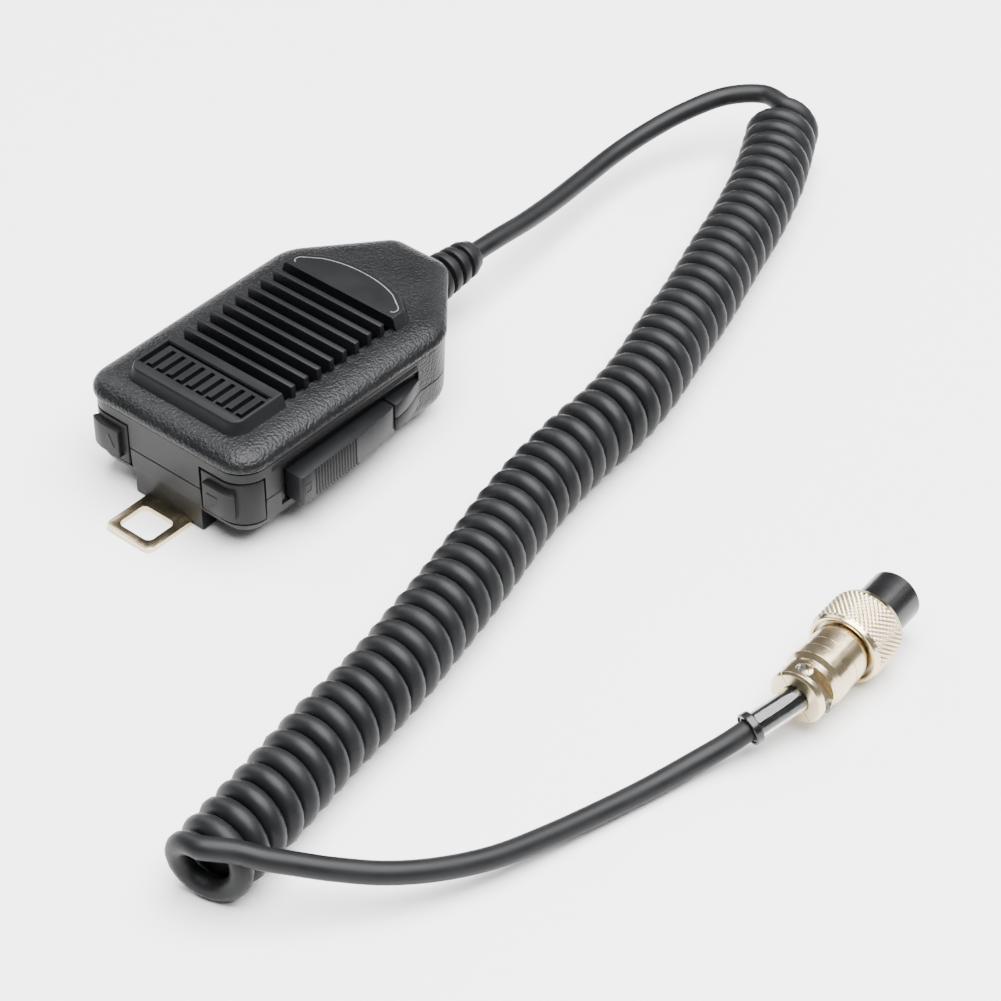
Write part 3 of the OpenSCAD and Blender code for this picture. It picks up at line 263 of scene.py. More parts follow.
def grained_plastic():
    """Case plastic: leather grain above the rim and round the cord end, satin elsewhere."""
    n = Nodes("case_plastic")
    coords = n.coords()
    axes = n.add("ShaderNodeSeparateXYZ")
    n.link(coords, axes.inputs[0])
    above = n.spread(axes.outputs["Z"], 0.02405, 0.0242, 0.0, 1.0)
    beyond = n.spread(axes.outputs["Y"], 0.0142, 0.0144, 0.0, 1.0)
    mask = n.math("MAXIMUM", above, beyond)
    wobble = n.add("ShaderNodeTexNoise")
    wobble.inputs["Scale"].default_value = 1000.0
    wobble.inputs["Detail"].default_value = 2.0
    n.link(coords, wobble.inputs["Vector"])
    shifted = n.add("ShaderNodeVectorMath")
    shifted.operation = "MULTIPLY_ADD"
    n.link(wobble.outputs["Color"], shifted.inputs[0])
    shifted.inputs[1].default_value = (0.0006, 0.0006, 0.0006)
    n.link(coords, shifted.inputs[2])
    cells = n.add("ShaderNodeTexVoronoi")
    cells.feature = "SMOOTH_F1"
    cells.inputs["Scale"].default_value = 1500.0
    cells.inputs["Smoothness"].default_value = 0.6
    n.link(shifted.outputs[0], cells.inputs["Vector"])
    pebble = n.spread(cells.outputs["Distance"], 0.15, 0.75, 1.0, 0.0)
    fine = n.noise(3200.0, 2.0)
    mixed = n.math("ADD", pebble, n.math("MULTIPLY", fine, 0.25))
    height = n.math("MULTIPLY", mixed, mask)
    slow = n.noise(80.0, 4.0)
    n.colour(slow, (0.0042, 0.0044, 0.0050), (0.0068, 0.0071, 0.0080))
    n.shader.inputs["Specular IOR Level"].default_value = 0.2
    rough = n.math("ADD", n.spread(slow, 0.3, 0.7, 0.40, 0.48), n.math("MULTIPLY", mask, -0.06))
    n.link(rough, n.shader.inputs["Roughness"])
    grain = n.bump(height, 0.8, 0.00013, n.soft_edges(0.00025))
    n.link(n.bump(fine, 0.35, 0.00002, grain), n.shader.inputs["Normal"])
    return n.material


def metal(name, colour, roughness, wear=0.12, edge=0.00012, scratch=0.35):
    """Plated metal: fine brushing, cloudy roughness and small scratches."""
    n = Nodes(name)
    n.shader.inputs["Metallic"].default_value = 1.0
    slow = n.noise(160.0, 5.0)
    stretch = n.add("ShaderNodeMapping")
    stretch.inputs["Scale"].default_value = (1.0, 14.0, 14.0)
    n.link(n.coords(), stretch.inputs["Vector"])
    lines = n.add("ShaderNodeTexNoise")
    lines.inputs["Scale"].default_value = 420.0
    lines.inputs["Detail"].default_value = 4.0
    n.link(stretch.outputs[0], lines.inputs["Vector"])
    dark = tuple(c * (1 - wear) for c in colour)
    n.colour(slow, dark, colour, 0.65)
    n.link(n.spread(slow, 0.3, 0.7, roughness - 0.04, roughness + 0.09), n.shader.inputs["Roughness"])
    n.link(n.bump(lines.outputs["Fac"], scratch, 0.00001, n.soft_edges(edge)), n.shader.inputs["Normal"])
    return n.material


def cord_plastic():
    """Cord sheath: dark grey PVC with a soft sheen and a faint fine grain."""
    n = Nodes("cord_sheath")
    slow = n.noise(120.0, 4.0)
    fine = n.noise(1900.0, 3.0)
    n.colour(slow, (0.0060, 0.0062, 0.0070), (0.0092, 0.0095, 0.0106))
    n.shader.inputs["Specular IOR Level"].default_value = 0.18
    n.link(n.spread(slow, 0.3, 0.7, 0.40, 0.50), n.shader.inputs["Roughness"])
    n.link(n.bump(fine, 0.3, 0.00003), n.shader.inputs["Normal"])
    return n.material


def clear_plastic():
    """Clear tube over the cord's end."""
    n = Nodes("clear_tube")
    slow = n.noise(300.0, 3.0)
    n.shader.inputs["Transmission Weight"].default_value = 1.0
    n.shader.inputs["IOR"].default_value = 1.45
    n.colour(slow, (0.86, 0.86, 0.85), (0.95, 0.95, 0.95))
    n.link(n.spread(slow, 0.3, 0.7, 0.02, 0.07), n.shader.inputs["Roughness"])
    n.link(n.bump(slow, 0.1, 0.00003), n.shader.inputs["Normal"])
    return n.material


def printed_line():
    """Thin grey print on the name plate."""
    n = Nodes("printed_line")
    slow = n.noise(800.0, 3.0)
    n.colour(slow, (0.09, 0.09, 0.09), (0.17, 0.17, 0.17))
    n.shader.inputs["Roughness"].default_value = 0.5
    return n.material


def floor_material():
    n = Nodes("floor")
    slow = n.noise(3.0, 2.0)
    n.colour(slow, (0.90, 0.90, 0.90), (0.92, 0.92, 0.92))
    n.shader.inputs["Roughness"].default_value = 0.55
    return n.material


# ---------------------------------------------------------------- mesh helpers
def new_mesh(name, points, faces, smooth_angle=35.0):
    """Mesh object from points in millimetres."""
    mesh = bpy.data.meshes.new(name)
    mesh.from_pydata([tuple(c * MM for c in p) for p in points], [], faces)
    mesh.validate()
    bm = bmesh.new()
    bm.from_mesh(mesh)
    bmesh.ops.recalc_face_normals(bm, faces=bm.faces)
    bm.to_mesh(mesh)
    bm.free()
    obj = bpy.data.objects.new(name, mesh)
    bpy.context.scene.collection.objects.link(obj)
    shade(obj, smooth_angle)
    return obj


def shade(obj, angle):
    """Smooth shading, with sharp edges where faces meet at more than the angle."""
    mesh = obj.data
    bm = bmesh.new()
    bm.from_mesh(mesh)
    limit = math.radians(angle)
    for face in bm.faces:
        face.smooth = True
    for edge in bm.edges:
        edge.smooth = len(edge.link_faces) == 2 and edge.calc_face_angle(0.0) < limit
    bm.to_mesh(mesh)
    bm.free()


def arc(cx, cy, r, start, stop, steps):
    """Points on an arc, with its angles in degrees."""
    return [
        (cx + r * math.cos(math.radians(start + (stop - start) * i / steps)),
         cy + r * math.sin(math.radians(start + (stop - start) * i / steps)))
        for i in range(steps + 1)
    ]


def case_outline(inset, steps=14):
    """Outline of the case seen from above, inset all round."""
    slope = math.degrees(math.atan2(RIM_HALF_W - END_HALF_W, SHOULDER_RUN))
    side_y = RIM_BACK - SHOULDER_RUN - SHOULDER_R * math.tan(math.radians(slope / 2))
    end_x = END_HALF_W - END_R * math.tan(math.radians((90 - slope) / 2))
    right = arc(CORNER_X, CORNER_Y, CORNER_R - inset, -90, 0, steps)
    right += arc(RIM_HALF_W - SHOULDER_R, side_y, SHOULDER_R - inset, 0, slope, steps)
    right += arc(end_x, RIM_BACK - END_R, END_R - min(inset, END_R - 0.2), slope, 90, steps // 2)
    return right + [(-x, y) for x, y in reversed(right)]


def loft(name, levels, smooth_angle=35.0):
    """Closed mesh through levels of (height, outline)."""
    sides = len(levels[0][1])
    points = [(x, y, z) for z, outline in levels for x, y in outline]
    faces = [tuple(reversed(range(sides)))]
    for i in range(len(levels) - 1):
        for k in range(sides):
            a = i * sides + k
            b = i * sides + (k + 1) % sides
            faces.append((a, b, b + sides, a + sides))
    faces.append(tuple(range((len(levels) - 1) * sides, len(levels) * sides)))
    return new_mesh(name, points, faces, smooth_angle)


def prism(name, outline, low, high, edge=0.0):
    """Upright prism of an outline, with its sharp edges rounded when edge is given."""
    obj = loft(name, [(low, outline), (high, outline)], 30.0)
    if edge:
        soften(obj, edge)
    return obj


def block(name, x0, x1, y0, y1, z0, z1, edge=0.0):
    """Box between two values on each axis."""
    return prism(name, [(x0, y0), (x1, y0), (x1, y1), (x0, y1)], z0, z1, edge)


def soften(obj, width, segments=2, angle=30.0):
    """Rounds the sharp edges of a piece."""
    modifier = obj.modifiers.new("soft_edges", "BEVEL")
    modifier.width = width * MM
    modifier.segments = segments
    modifier.limit_method = "ANGLE"
    modifier.angle_limit = math.radians(angle)
    modifier.use_clamp_overlap = True
    apply_modifiers(obj)
    shade(obj, 40.0)


def apply_modifiers(obj):
    graph = bpy.context.evaluated_depsgraph_get()
    result = bpy.data.meshes.new_from_object(obj.evaluated_get(graph))
    obj.modifiers.clear()
    old = obj.data
    obj.data = result
    bpy.data.meshes.remove(old)


def join(name, pieces):
    """One object from several."""
    bm = bmesh.new()
    for piece in pieces:
        bm.from_mesh(piece.data)
    mesh = bpy.data.meshes.new(name)
    bm.to_mesh(mesh)
    bm.free()
    obj = bpy.data.objects.new(name, mesh)
    bpy.context.scene.collection.objects.link(obj)
    for piece in pieces:
        bpy.data.objects.remove(piece)
    return obj


def cut(obj, cutter):
    """Takes the cutter out of the piece."""
    modifier = obj.modifiers.new("cut", "BOOLEAN")
    modifier.operation = "DIFFERENCE"
    modifier.solver = "EXACT"
    modifier.use_self = True
    modifier.object = cutter
    apply_modifiers(obj)
    bpy.data.objects.remove(cutter)


def lathe(name, profile, steps=96, ripple=None, smooth_angle=35.0):
    """Turned piece about local Z from (radius, height) points; ripple changes the radius by angle."""
    points = []
    for r, z in profile:
        for k in range(steps):
            a = TAU * k / steps
            rr = r + (ripple(a, z) if ripple and r > 0.01 else 0.0)
            points.append((rr * math.cos(a), rr * math.sin(a), z))
    faces = []
    rows = len(profile)
    for i in range(rows):
        j = (i + 1) % rows
        if profile[i][0] <= 0.01 and profile[j][0] <= 0.01:
            continue
        for k in range(steps):
            n = (k + 1) % steps
            faces.append((i * steps + k, i * steps + n, j * steps + n, j * steps + k))
    obj = new_mesh(name, points, faces, smooth_angle)
    bm = bmesh.new()
    bm.from_mesh(obj.data)
    bmesh.ops.remove_doubles(bm, verts=bm.verts, dist=1e-7)
    bmesh.ops.recalc_face_normals(bm, faces=bm.faces)
    bm.to_mesh(obj.data)
    bm.free()
    shade(obj, smooth_angle)
    return obj


def place(obj, matrix):
    obj.data.transform(matrix)
    return obj


def on_plug():
    """Matrix from the plug's own axis to the frame."""
    move = Matrix.Translation(Vector(PLUG_AT) * MM)
    turn = Matrix.Rotation(math.radians(PLUG_YAW), 4, "Z")
    lay = Matrix.Rotation(math.radians(-90), 4, "X")
    return move @ turn @ lay


def along_y(y, z):
    """Matrix that lays a turned piece along the middle line, from y at height z."""
    return Matrix.Translation(Vector((0, y, z)) * MM) @ Matrix.Rotation(math.radians(-90), 4, "X")


def dress(obj, material, body, replaced):
    """Gives a piece its material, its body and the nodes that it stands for."""
    if obj.type == "MESH":
        obj.data.materials.clear()
    obj.data.materials.append(material)
    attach(obj, body)
    if replaced:
        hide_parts(*replaced)
    return obj


# ---------------------------------------------------------------- cord
def smooth_path(points, per_span):
    """Points on a smooth curve through the given ones."""
    points = [Vector(p) for p in points]
    path = []
    for i in range(len(points) - 1):
        p0 = points[max(i - 1, 0)]
        p1 = points[i]
        p2 = points[i + 1]
        p3 = points[min(i + 2, len(points) - 1)]
        for k in range(per_span):
            t = k / per_span
            path.append(0.5 * (2 * p1 + (p2 - p0) * t + (2 * p0 - 5 * p1 + 4 * p2 - p3) * t * t
                               + (3 * p1 - p0 - 3 * p2 + p3) * t ** 3))
    path.append(points[-1])
    return path


def helix(axis_points, turns, radius, steps):
    """Left-handed turns round a smooth axis, starting and ending on top."""
    axis = smooth_path([(x, y, COIL_R) for x, y in axis_points], 12)
    lengths = [0.0]
    for a, b in zip(axis, axis[1:]):
        lengths.append(lengths[-1] + (b - a).length)
    total = turns * steps
    path = []
    j = 0
    for i in range(total + 1):
        s = lengths[-1] * i / total
        while j < len(axis) - 2 and lengths[j + 1] < s:
            j += 1
        t = (s - lengths[j]) / (lengths[j + 1] - lengths[j])
        centre = axis[j].lerp(axis[j + 1], t)
        ahead = axis[min(j + 3, len(axis) - 1)]
        behind = axis[max(j - 2, 0)]
        along = (ahead - behind).normalized()
        across = along.cross(Vector((0, 0, 1)))
        turn = TAU * i / steps
        path.append(centre + radius * (math.cos(turn) * Vector((0, 0, 1)) - math.sin(turn) * across))
    return path


def build_cord(material):
    """The whole cord as one curve, and its length in metres."""
    turns = helix(COIL_AXIS, COIL_TURNS, COIL_R - CORD_D / 2, 24)
    upper = smooth_path(UPPER_ROUTE + [tuple(turns[0]), tuple(turns[3])], 6)[:-6]
    lower = smooth_path([tuple(turns[-4]), tuple(turns[-1])] + LOWER_ROUTE, 6)[6:]
    path = upper[:-1] + turns + lower[1:]
    data = bpy.data.curves.new("cord", "CURVE")
    data.dimensions = "3D"
    data.bevel_depth = CORD_D / 2 * MM
    data.bevel_resolution = 4
    data.use_fill_caps = True
    spline = data.splines.new("POLY")
    spline.points.add(len(path) - 1)
    for point, p in zip(spline.points, path):
        point.co = (p.x * MM, p.y * MM, p.z * MM, 1.0)
    cord = bpy.data.objects.new("cord", data)
    bpy.context.scene.collection.objects.link(cord)
    dress(cord, material, "case", ("upper_lead", "curly_cord", "lower_lead"))
    length = sum((b - a).length for a, b in zip(path, path[1:])) * MM
    return cord, length


def build_sleeve(material):
    """Clear tube over the cord's end, along the same route."""
    path = smooth_path(LOWER_ROUTE[-SLEEVE_POINTS:], 4)
    points = []
    sides = 28
    for radius in (SLEEVE_OUT_R, SLEEVE_IN_R):
        for i, p in enumerate(path):
            along = (path[min(i + 1, len(path) - 1)] - path[max(i - 1, 0)]).normalized()
            across = along.cross(Vector((0, 0, 1))).normalized()
            up = across.cross(along)
            for k in range(sides):
                a = TAU * k / sides
                points.append(tuple(p + radius * (math.cos(a) * across + math.sin(a) * up)))
    rows = len(path)
    faces = []
    for ring, layer in enumerate((0, rows * sides)):
        for i in range(rows - 1):
            for k in range(sides):
                a = layer + i * sides + k
                b = layer + i * sides + (k + 1) % sides
                faces.append((a, b, b + sides, a + sides) if ring == 0 else (b, a, a + sides, b + sides))
    for start in (0, (rows - 1) * sides):
        for k in range(sides):
            a = start + k
            b = start + (k + 1) % sides
            faces.append((a, b, b + rows * sides, a + rows * sides))
    sleeve = new_mesh("sleeve", points, faces)
    return dress(sleeve, material, "case", ("clear_sleeve",))


def build_sleeve_ring(material):
    """Black band round the far end of the clear tube."""
    start = Vector(LOWER_ROUTE[-SLEEVE_POINTS])
    along = (Vector(LOWER_ROUTE[-SLEEVE_POINTS + 1]) - start).normalized()
    profile = [(3.45, -0.25), (3.75, -0.3), (3.92, -0.1), (3.92, 1.45), (3.75, 1.68), (3.45, 1.68)]
    ring = lathe("sleeve_band", profile, 48)
    matrix = Matrix.Translation(start * MM) @ along.to_track_quat("Z", "Y").to_matrix().to_4x4()
    place(ring, matrix)
    return dress(ring, material, "case", ("sleeve_ring",))


# ---------------------------------------------------------------- case
def front_levels():
    """Side wall, groove under the rim, rim and rounded shoulder."""
    levels = [
        (13.88, 0.9), (14.02, 0.72), (23.45, 0.7), (23.6, 1.2), (24.02, 1.2), (24.12, 0.32),
        (24.3, 0.08), (24.6, 0.0),
    ]
    for a in range(0, 91, 6):
        rise = math.sin(math.radians(a))
        levels.append((25.1 + 3.5 * rise, 7.0 * (1 - math.cos(math.radians(a)))))
    return [(z, case_outline(inset)) for z, inset in levels]


def back_levels():
    """Rounded lower edge and side wall up to the parting line."""
    levels = []
    for a in range(0, 91, 9):
        rise = 5.0 * (1 - math.cos(math.radians(a)))
        inset = 0.95 + 4.4 * (1 - math.sin(math.radians(a)))
        levels.append((CORNER_Z + rise, inset))
    levels += [(13.6, 0.72), (13.74, 0.9)]
    return [(z, case_outline(inset)) for z, inset in levels]


def cavity_levels(low, high):
    outline = case_outline(RIM_STEP + WALL + 0.4)
    return [(low, outline), (high, outline)]


def foot_outline(inset):
    """Flat foot that the microphone lies on, wider behind the hanger plate."""
    front = -46.2 + inset
    half = [
        (11.2 - inset, front), (11.2 - inset, -37.4 + inset), (19.0 - inset, -33.4 + inset),
        (19.0 - inset, 28.4 - inset / 2), (8.0 - inset / 2, 40.4 - inset),
    ]
    return half + [(-x, y) for x, y in reversed(half)]


def corner_band(outer_r, inner_r, start_x, end_angle, steps=22):
    """Part of the wall round the front right corner, seen from above."""
    outer = [(start_x, CORNER_Y - outer_r)] + arc(CORNER_X, CORNER_Y, outer_r, -90, end_angle, steps)
    inner = arc(CORNER_X, CORNER_Y, inner_r, end_angle, -90, steps) + [(start_x, CORNER_Y - inner_r)]
    return outer + inner


def mirror_x(outline):
    return [(-x, y) for x, y in reversed(outline)]


def key_hole(side):
    """Cutter for a key's opening: side is 1 at the lever's side and -1 opposite."""
    outline = corner_band(14.0, 4.2, KEY_SIDE_X - KEY_GAP, 0.0)
    outline = [(x, min(y, KEY_SIDE_Y + KEY_GAP)) for x, y in outline]
    if side < 0:
        outline = mirror_x(outline)
    return prism("key_hole", outline, KEY_LOW_Z - KEY_GAP, KEY_TOP_Z + KEY_GAP)


def ramp_outline():
    """Fixed wedge behind the lever's heel."""
    y0 = HEEL_Y + LEVER_GAP
    return [
        (23.5, y0), (LEVER_HEEL_X - 0.3, y0), (LEVER_HEEL_X, y0 + 0.8), (LEVER_HEEL_X - 0.6, y0 + 5),
        (WALL_HALF_W + 0.2, y0 + RAMP_L), (23.5, y0 + RAMP_L),
    ]


def cut_common(shell):
    """Openings that both case halves share."""
    for side in (1, -1):
        cut(shell, key_hole(side))
    cut(shell, block("hole", 16.0, OUTSIDE_X, LEVER_TIP_Y - LEVER_GAP, HEEL_Y + LEVER_GAP,
                     LEVER_Z - LEVER_H / 2 - LEVER_GAP, LEVER_Z + LEVER_H / 2 + LEVER_GAP))
    cut(shell, block("recess", WALL_HALF_W - 0.9, OUTSIDE_X, LEVER_TIP_Y - 2.2,
                     HEEL_Y + LEVER_GAP + RAMP_L, 9.0, 20.6))
    bore = lathe("bore", [(0.0, -6.0), (5.03, -6.0), (5.03, 3.0), (0.0, 3.0)], 48)
    cut(shell, place(bore, along_y(WALL_BACK_Y, CORD_Z)))


def build_front_case(grain, satin):
    shell = loft("front_shell", front_levels())
    cut(shell, loft("cavity", cavity_levels(10.0, 25.9)))
    cut_common(shell)
    cut(shell, block("pocket", -TRAY_HALF_W, TRAY_HALF_W, COMB_FAR_Y, NAME_NEAR_Y, PLATE_LOW_Z,
                     GRILLE_Z + 2.0))
    for i in range(1, SLAT_COUNT):
        mid = SLAT_START_Y + i * SLAT_PITCH - (SLAT_PITCH - SLAT_T) / 2
        cut(shell, block("sound_slot", -SOUND_SLOT_HALF_W, SOUND_SLOT_HALF_W,
                         mid - SOUND_SLOT_HALF_L, mid + SOUND_SLOT_HALF_L, 24.0, 28.0))
    shade(shell, 32.0)
    dress(shell, grain, "case", ("front_case",))
    ramp = prism("front_ramp", ramp_outline(), PARTING_Z + 0.06, 18.0, 0.18)
    dress(ramp, satin, "case", ())


def build_back_case(grain, satin):
    shell = loft("back_shell", back_levels())
    foot_steps = ((0.0, 0.4), (0.35, 0.08), (0.6, 0.0), (9.0, 0.0))
    foot = loft("foot", [(z, foot_outline(inset)) for z, inset in foot_steps])
    modifier = shell.modifiers.new("foot", "BOOLEAN")
    modifier.operation = "UNION"
    modifier.solver = "EXACT"
    modifier.object = foot
    apply_modifiers(shell)
    bpy.data.objects.remove(foot)
    cut(shell, loft("cavity", cavity_levels(6.4, 16.0)))
    cut_common(shell)
    cut(shell, block("plate_seat", -HANGER_W / 2 - 0.1, HANGER_W / 2 + 0.1, -60.0,
                     HANGER_BACK_Y + 0.1, LOWEST_CUT_Z, HANGER_T))
    for x, y in CASE_SCREWS:
        profile = [(0.0, LOWEST_CUT_Z), (2.4, LOWEST_CUT_Z), (2.4, 2.7), (0.0, 2.7)]
        well = lathe("well", profile, 40)
        cut(shell, place(well, Matrix.Translation(Vector((x, y, 0)) * MM)))
    shade(shell, 32.0)
    dress(shell, grain, "case", ("back_case",))
    ramp = prism("back_ramp", ramp_outline(), 10.0, PARTING_Z - 0.06, 0.18)
    dress(ramp, satin, "case", ())


def build_beads(satin):
    """Two fine beads that run along the side above the lever."""
    x = WALL_HALF_W - 0.02
    sides = 10
    ys = [BEAD_START_Y + BEAD_L * k / 40 for k in range(41)]
    for i, (z, r) in enumerate(BEADS):
        points = []
        faces = []
        for y in ys:
            for k in range(sides):
                a = TAU * k / sides
                points.append((x + r * math.cos(a), y, z + r * math.sin(a)))
        for j in range(len(ys) - 1):
            for k in range(sides):
                a = j * sides + k
                b = j * sides + (k + 1) % sides
                faces.append((a, b, b + sides, a + sides))
        faces.append(tuple(reversed(range(sides))))
        faces.append(tuple(range((len(ys) - 1) * sides, len(ys) * sides)))
        bead = new_mesh(f"side_bead_{i + 1}", points, faces)
        dress(bead, satin, "case", ())


# ---------------------------------------------------------------- grille
def comb_outline(grow):
    """Plate with the comb slots, seen from above."""
    half = GRILLE_HALF_W + grow
    r = 3.2 + grow
    near = COMB_NEAR_Y - grow
    return (arc(half - r, near + r, r, -90, 0, 10) + [(half, COMB_FAR_Y), (-half, COMB_FAR_Y)]
            + arc(-half + r, near + r, r, 180, 270, 10))


def name_outline(grow):
    """Name plate with its bowed far edge, seen from above."""
    half = GRILLE_HALF_W + 0.2 + grow
    r = 3.0 + grow
    far = NAME_FAR_Y + grow
    bow = [(half * t / 20, far - NAME_BOW * abs(t / 20) ** 2.2) for t in range(14, -15, -2)]
    near = [(-half, NAME_NEAR_Y), (half, NAME_NEAR_Y)]
    right = arc(half - r, far - NAME_BOW - r, r, 0, 62, 10)
    left = arc(-half + r, far - NAME_BOW - r, r, 118, 180, 10)
    return near + right + bow + left


def plate_levels(outline):
    """Sloped skirt and rounded top edge of a plate."""
    steps = (
        (27.4, 1.5), (28.5, 1.3), (28.85, 0.95), (31.2, 0.22), (31.7, 0.02), (31.92, -0.2),
        (GRILLE_Z, -0.5),
    )
    return [(z, outline(grow)) for z, grow in steps]


def build_comb(satin):
    plate = loft("comb_plate", plate_levels(comb_outline))
    over = GRILLE_Z + 1
    cut(plate, block("tray", -TRAY_HALF_W, TRAY_HALF_W, -37.0, -26.4, GRILLE_Z - TRAY_DEPTH, over))
    first = -(COMB_COUNT - 1) / 2 * COMB_PITCH
    low = GRILLE_Z - 1.9
    for i in range(COMB_COUNT):
        x = first + i * COMB_PITCH
        far = COMB_FAR_END_Y if i else COMB_GROOVE_Y[1]
        left = x - COMB_SLOT_W / 2
        cut(plate, block("slot", left, left + COMB_SLOT_W, COMB_NEAR_END_Y, far, low, over))
        if i:
            cut(plate, block("foot", left - 1.2, x, COMB_NEAR_END_Y, COMB_FOOT_Y, low, over))
    cut(plate, block("groove", first - COMB_SLOT_W / 2, -first, *COMB_GROOVE_Y, low, over))
    shade(plate, 28.0)
    dress(plate, satin, "case", ())


def build_name_plate(satin, line_material):
    plate = loft("name_plate", plate_levels(name_outline))
    shade(plate, 28.0)
    dress(plate, satin, "case", ())
    outer = [p for p in name_outline(-1.35)[1:] if p[1] > NAME_NEAR_Y + 2.2]
    right, left = outer[0], outer[-1]
    track = [(right[0] - 1.0, right[1] - 1.2), (right[0] - 0.15, right[1] - 0.8)] + outer
    track += [(left[0] + 0.15, left[1] - 0.8), (left[0] + 1.0, left[1] - 1.2)]
    width = 0.13
    points = []
    for i, p in enumerate(track):
        a = Vector(track[max(i - 1, 0)])
        b = Vector(track[min(i + 1, len(track) - 1)])
        normal = Vector((-(b - a).y, (b - a).x)).normalized()
        for sign in (1, -1):
            x = p[0] + sign * width * normal.x
            y = p[1] + sign * width * normal.y
            points.append((x, y, GRILLE_Z + 0.012))
    faces = [(2 * i, 2 * i + 1, 2 * i + 3, 2 * i + 2) for i in range(len(track) - 1)]
    line = new_mesh("name_plate_line", points, faces)
    dress(line, line_material, "case", ())


def build_slats(satin):
    for i in range(SLAT_COUNT):
        y = SLAT_START_Y + i * SLAT_PITCH
        slat = block(f"slat_{i + 1}", -GRILLE_HALF_W, GRILLE_HALF_W, y, y + SLAT_T,
                     PLATE_LOW_Z - 0.2, GRILLE_Z, 0.16)
        dress(slat, satin, "case", ())


# ---------------------------------------------------------------- keys and lever
def build_key(side, body, satin):
    """Key round a front corner: a flap, a raised pad and an arrow on it."""
    outline = corner_band(KEY_OUT_R, KEY_IN_R, KEY_SIDE_X, -3.1)
    pad = corner_band(KEY_OUT_R + PAD_PROUD, PAD_IN_R, PAD_SIDE_X, -61.0, 12)
    if side < 0:
        outline, pad = mirror_x(outline), mirror_x(pad)
    flap = prism("flap", outline, KEY_LOW_Z, KEY_TOP_Z)
    soften(flap, 0.3, 3, 50.0)
    raised = prism("pad", pad, PAD_LOW_Z, PAD_TOP_Z)
    soften(raised, 0.45, 3, 50.0)
    front_y = CORNER_Y - KEY_OUT_R - PAD_PROUD
    tip, base = (12.2, 15.8) if side > 0 else (16.4, 12.8)
    arrow_points = [(15.6, base), (19.2, base), (17.4, tip)]
    points = [(side * x, y, z) for y in (front_y - 0.14, front_y + 0.3) for x, z in arrow_points]
    arrow_faces = [(0, 1, 2), (5, 4, 3), (0, 3, 4, 1), (1, 4, 5, 2), (2, 5, 3, 0)]
    arrow = new_mesh("arrow", points, arrow_faces)
    shade(arrow, 20.0)
    name = "up_key_cap" if side < 0 else "down_key_cap"
    cap = join(name, [flap, raised, arrow])
    dress(cap, satin, body, (body,))


def lever_outline():
    """Lever seen from above, with grip ribs on its outer face."""
    points = [(24.5, HEEL_Y), (24.5, LEVER_TIP_Y)]
    points += arc(LEVER_TIP_X - 1.0, LEVER_TIP_Y + 1.0, 1.0, 270, 350, 6)
    y = LEVER_TIP_Y + RIB_START
    while y < RIB_END_Y:
        x = LEVER_TIP_X - 0.02 * (y - LEVER_TIP_Y)
        points += [(x, y), (x - 0.26, y + 0.16), (x - 0.26, y + 0.46), (x, y + 0.62)]
        y += RIB_PITCH
    points += [(LEVER_TIP_X - 0.4, -12.6), (LEVER_TIP_X - 0.75, -7.0), (LEVER_HEEL_X + 0.5, -2.0),
               (LEVER_HEEL_X + 0.1, 1.4), (LEVER_HEEL_X - 0.4, HEEL_Y)]
    return points


def build_lever(satin):
    """Push-to-talk lever with a small raised square near its tip."""
    lever = prism("lever", lever_outline(), LEVER_Z - LEVER_H / 2, LEVER_Z + LEVER_H / 2)
    soften(lever, 0.12, 2, 40.0)
    x = LEVER_TIP_X - 0.05
    parts = [lever]
    for y0, y1, z0, z1 in ((-30.9, -28.7, 15.0, 15.25), (-30.9, -28.7, 12.75, 13.0),
                           (-30.9, -30.65, 13.0, 15.0), (-28.95, -28.7, 13.0, 15.0)):
        parts.append(block("mark", x - 0.3, x + 0.1, y0, y1, z0, z1))
    lever = join("talk_lever", parts)
    dress(lever, satin, "ptt_lever", ("ptt_lever",))


# ---------------------------------------------------------------- hanger, boot and plug
def build_hanger(nickel):
    """Metal plate with a square hole and two countersunk holes."""
    def loop(x, y0, y1, r):
        return (arc(x - r, y0 + r, r, -90, 0, 8) + arc(x - r, y1 - r, r, 0, 90, 8)
                + arc(-x + r, y1 - r, r, 90, 180, 8) + arc(-x + r, y0 + r, r, 180, 270, 8))

    plate = prism("plate", loop(HANGER_W / 2, HANGER_TIP_Y, HANGER_BACK_Y, 2.0), 0.0, HANGER_T)
    window = loop(WINDOW_HALF_W, HANGER_TIP_Y + 2.3, HANGER_TIP_Y + 11.3, 1.7)
    cut(plate, prism("window", window, LOWEST_CUT_Z, 3.0))
    profile = [(0.0, -0.5), (2.25, -0.5), (2.25, 0.05), (1.05, 1.2), (1.05, 3.0), (0.0, 3.0)]
    for y in HANGER_SCREW_Y:
        sink = lathe("sink", profile, 40)
        cut(plate, place(sink, Matrix.Translation(Vector((0, y, 0)) * MM)))
    soften(plate, 0.28, 3, 40.0)
    plate.name = "hanger_tab"
    dress(plate, nickel, "case", ("hanger_plate",))


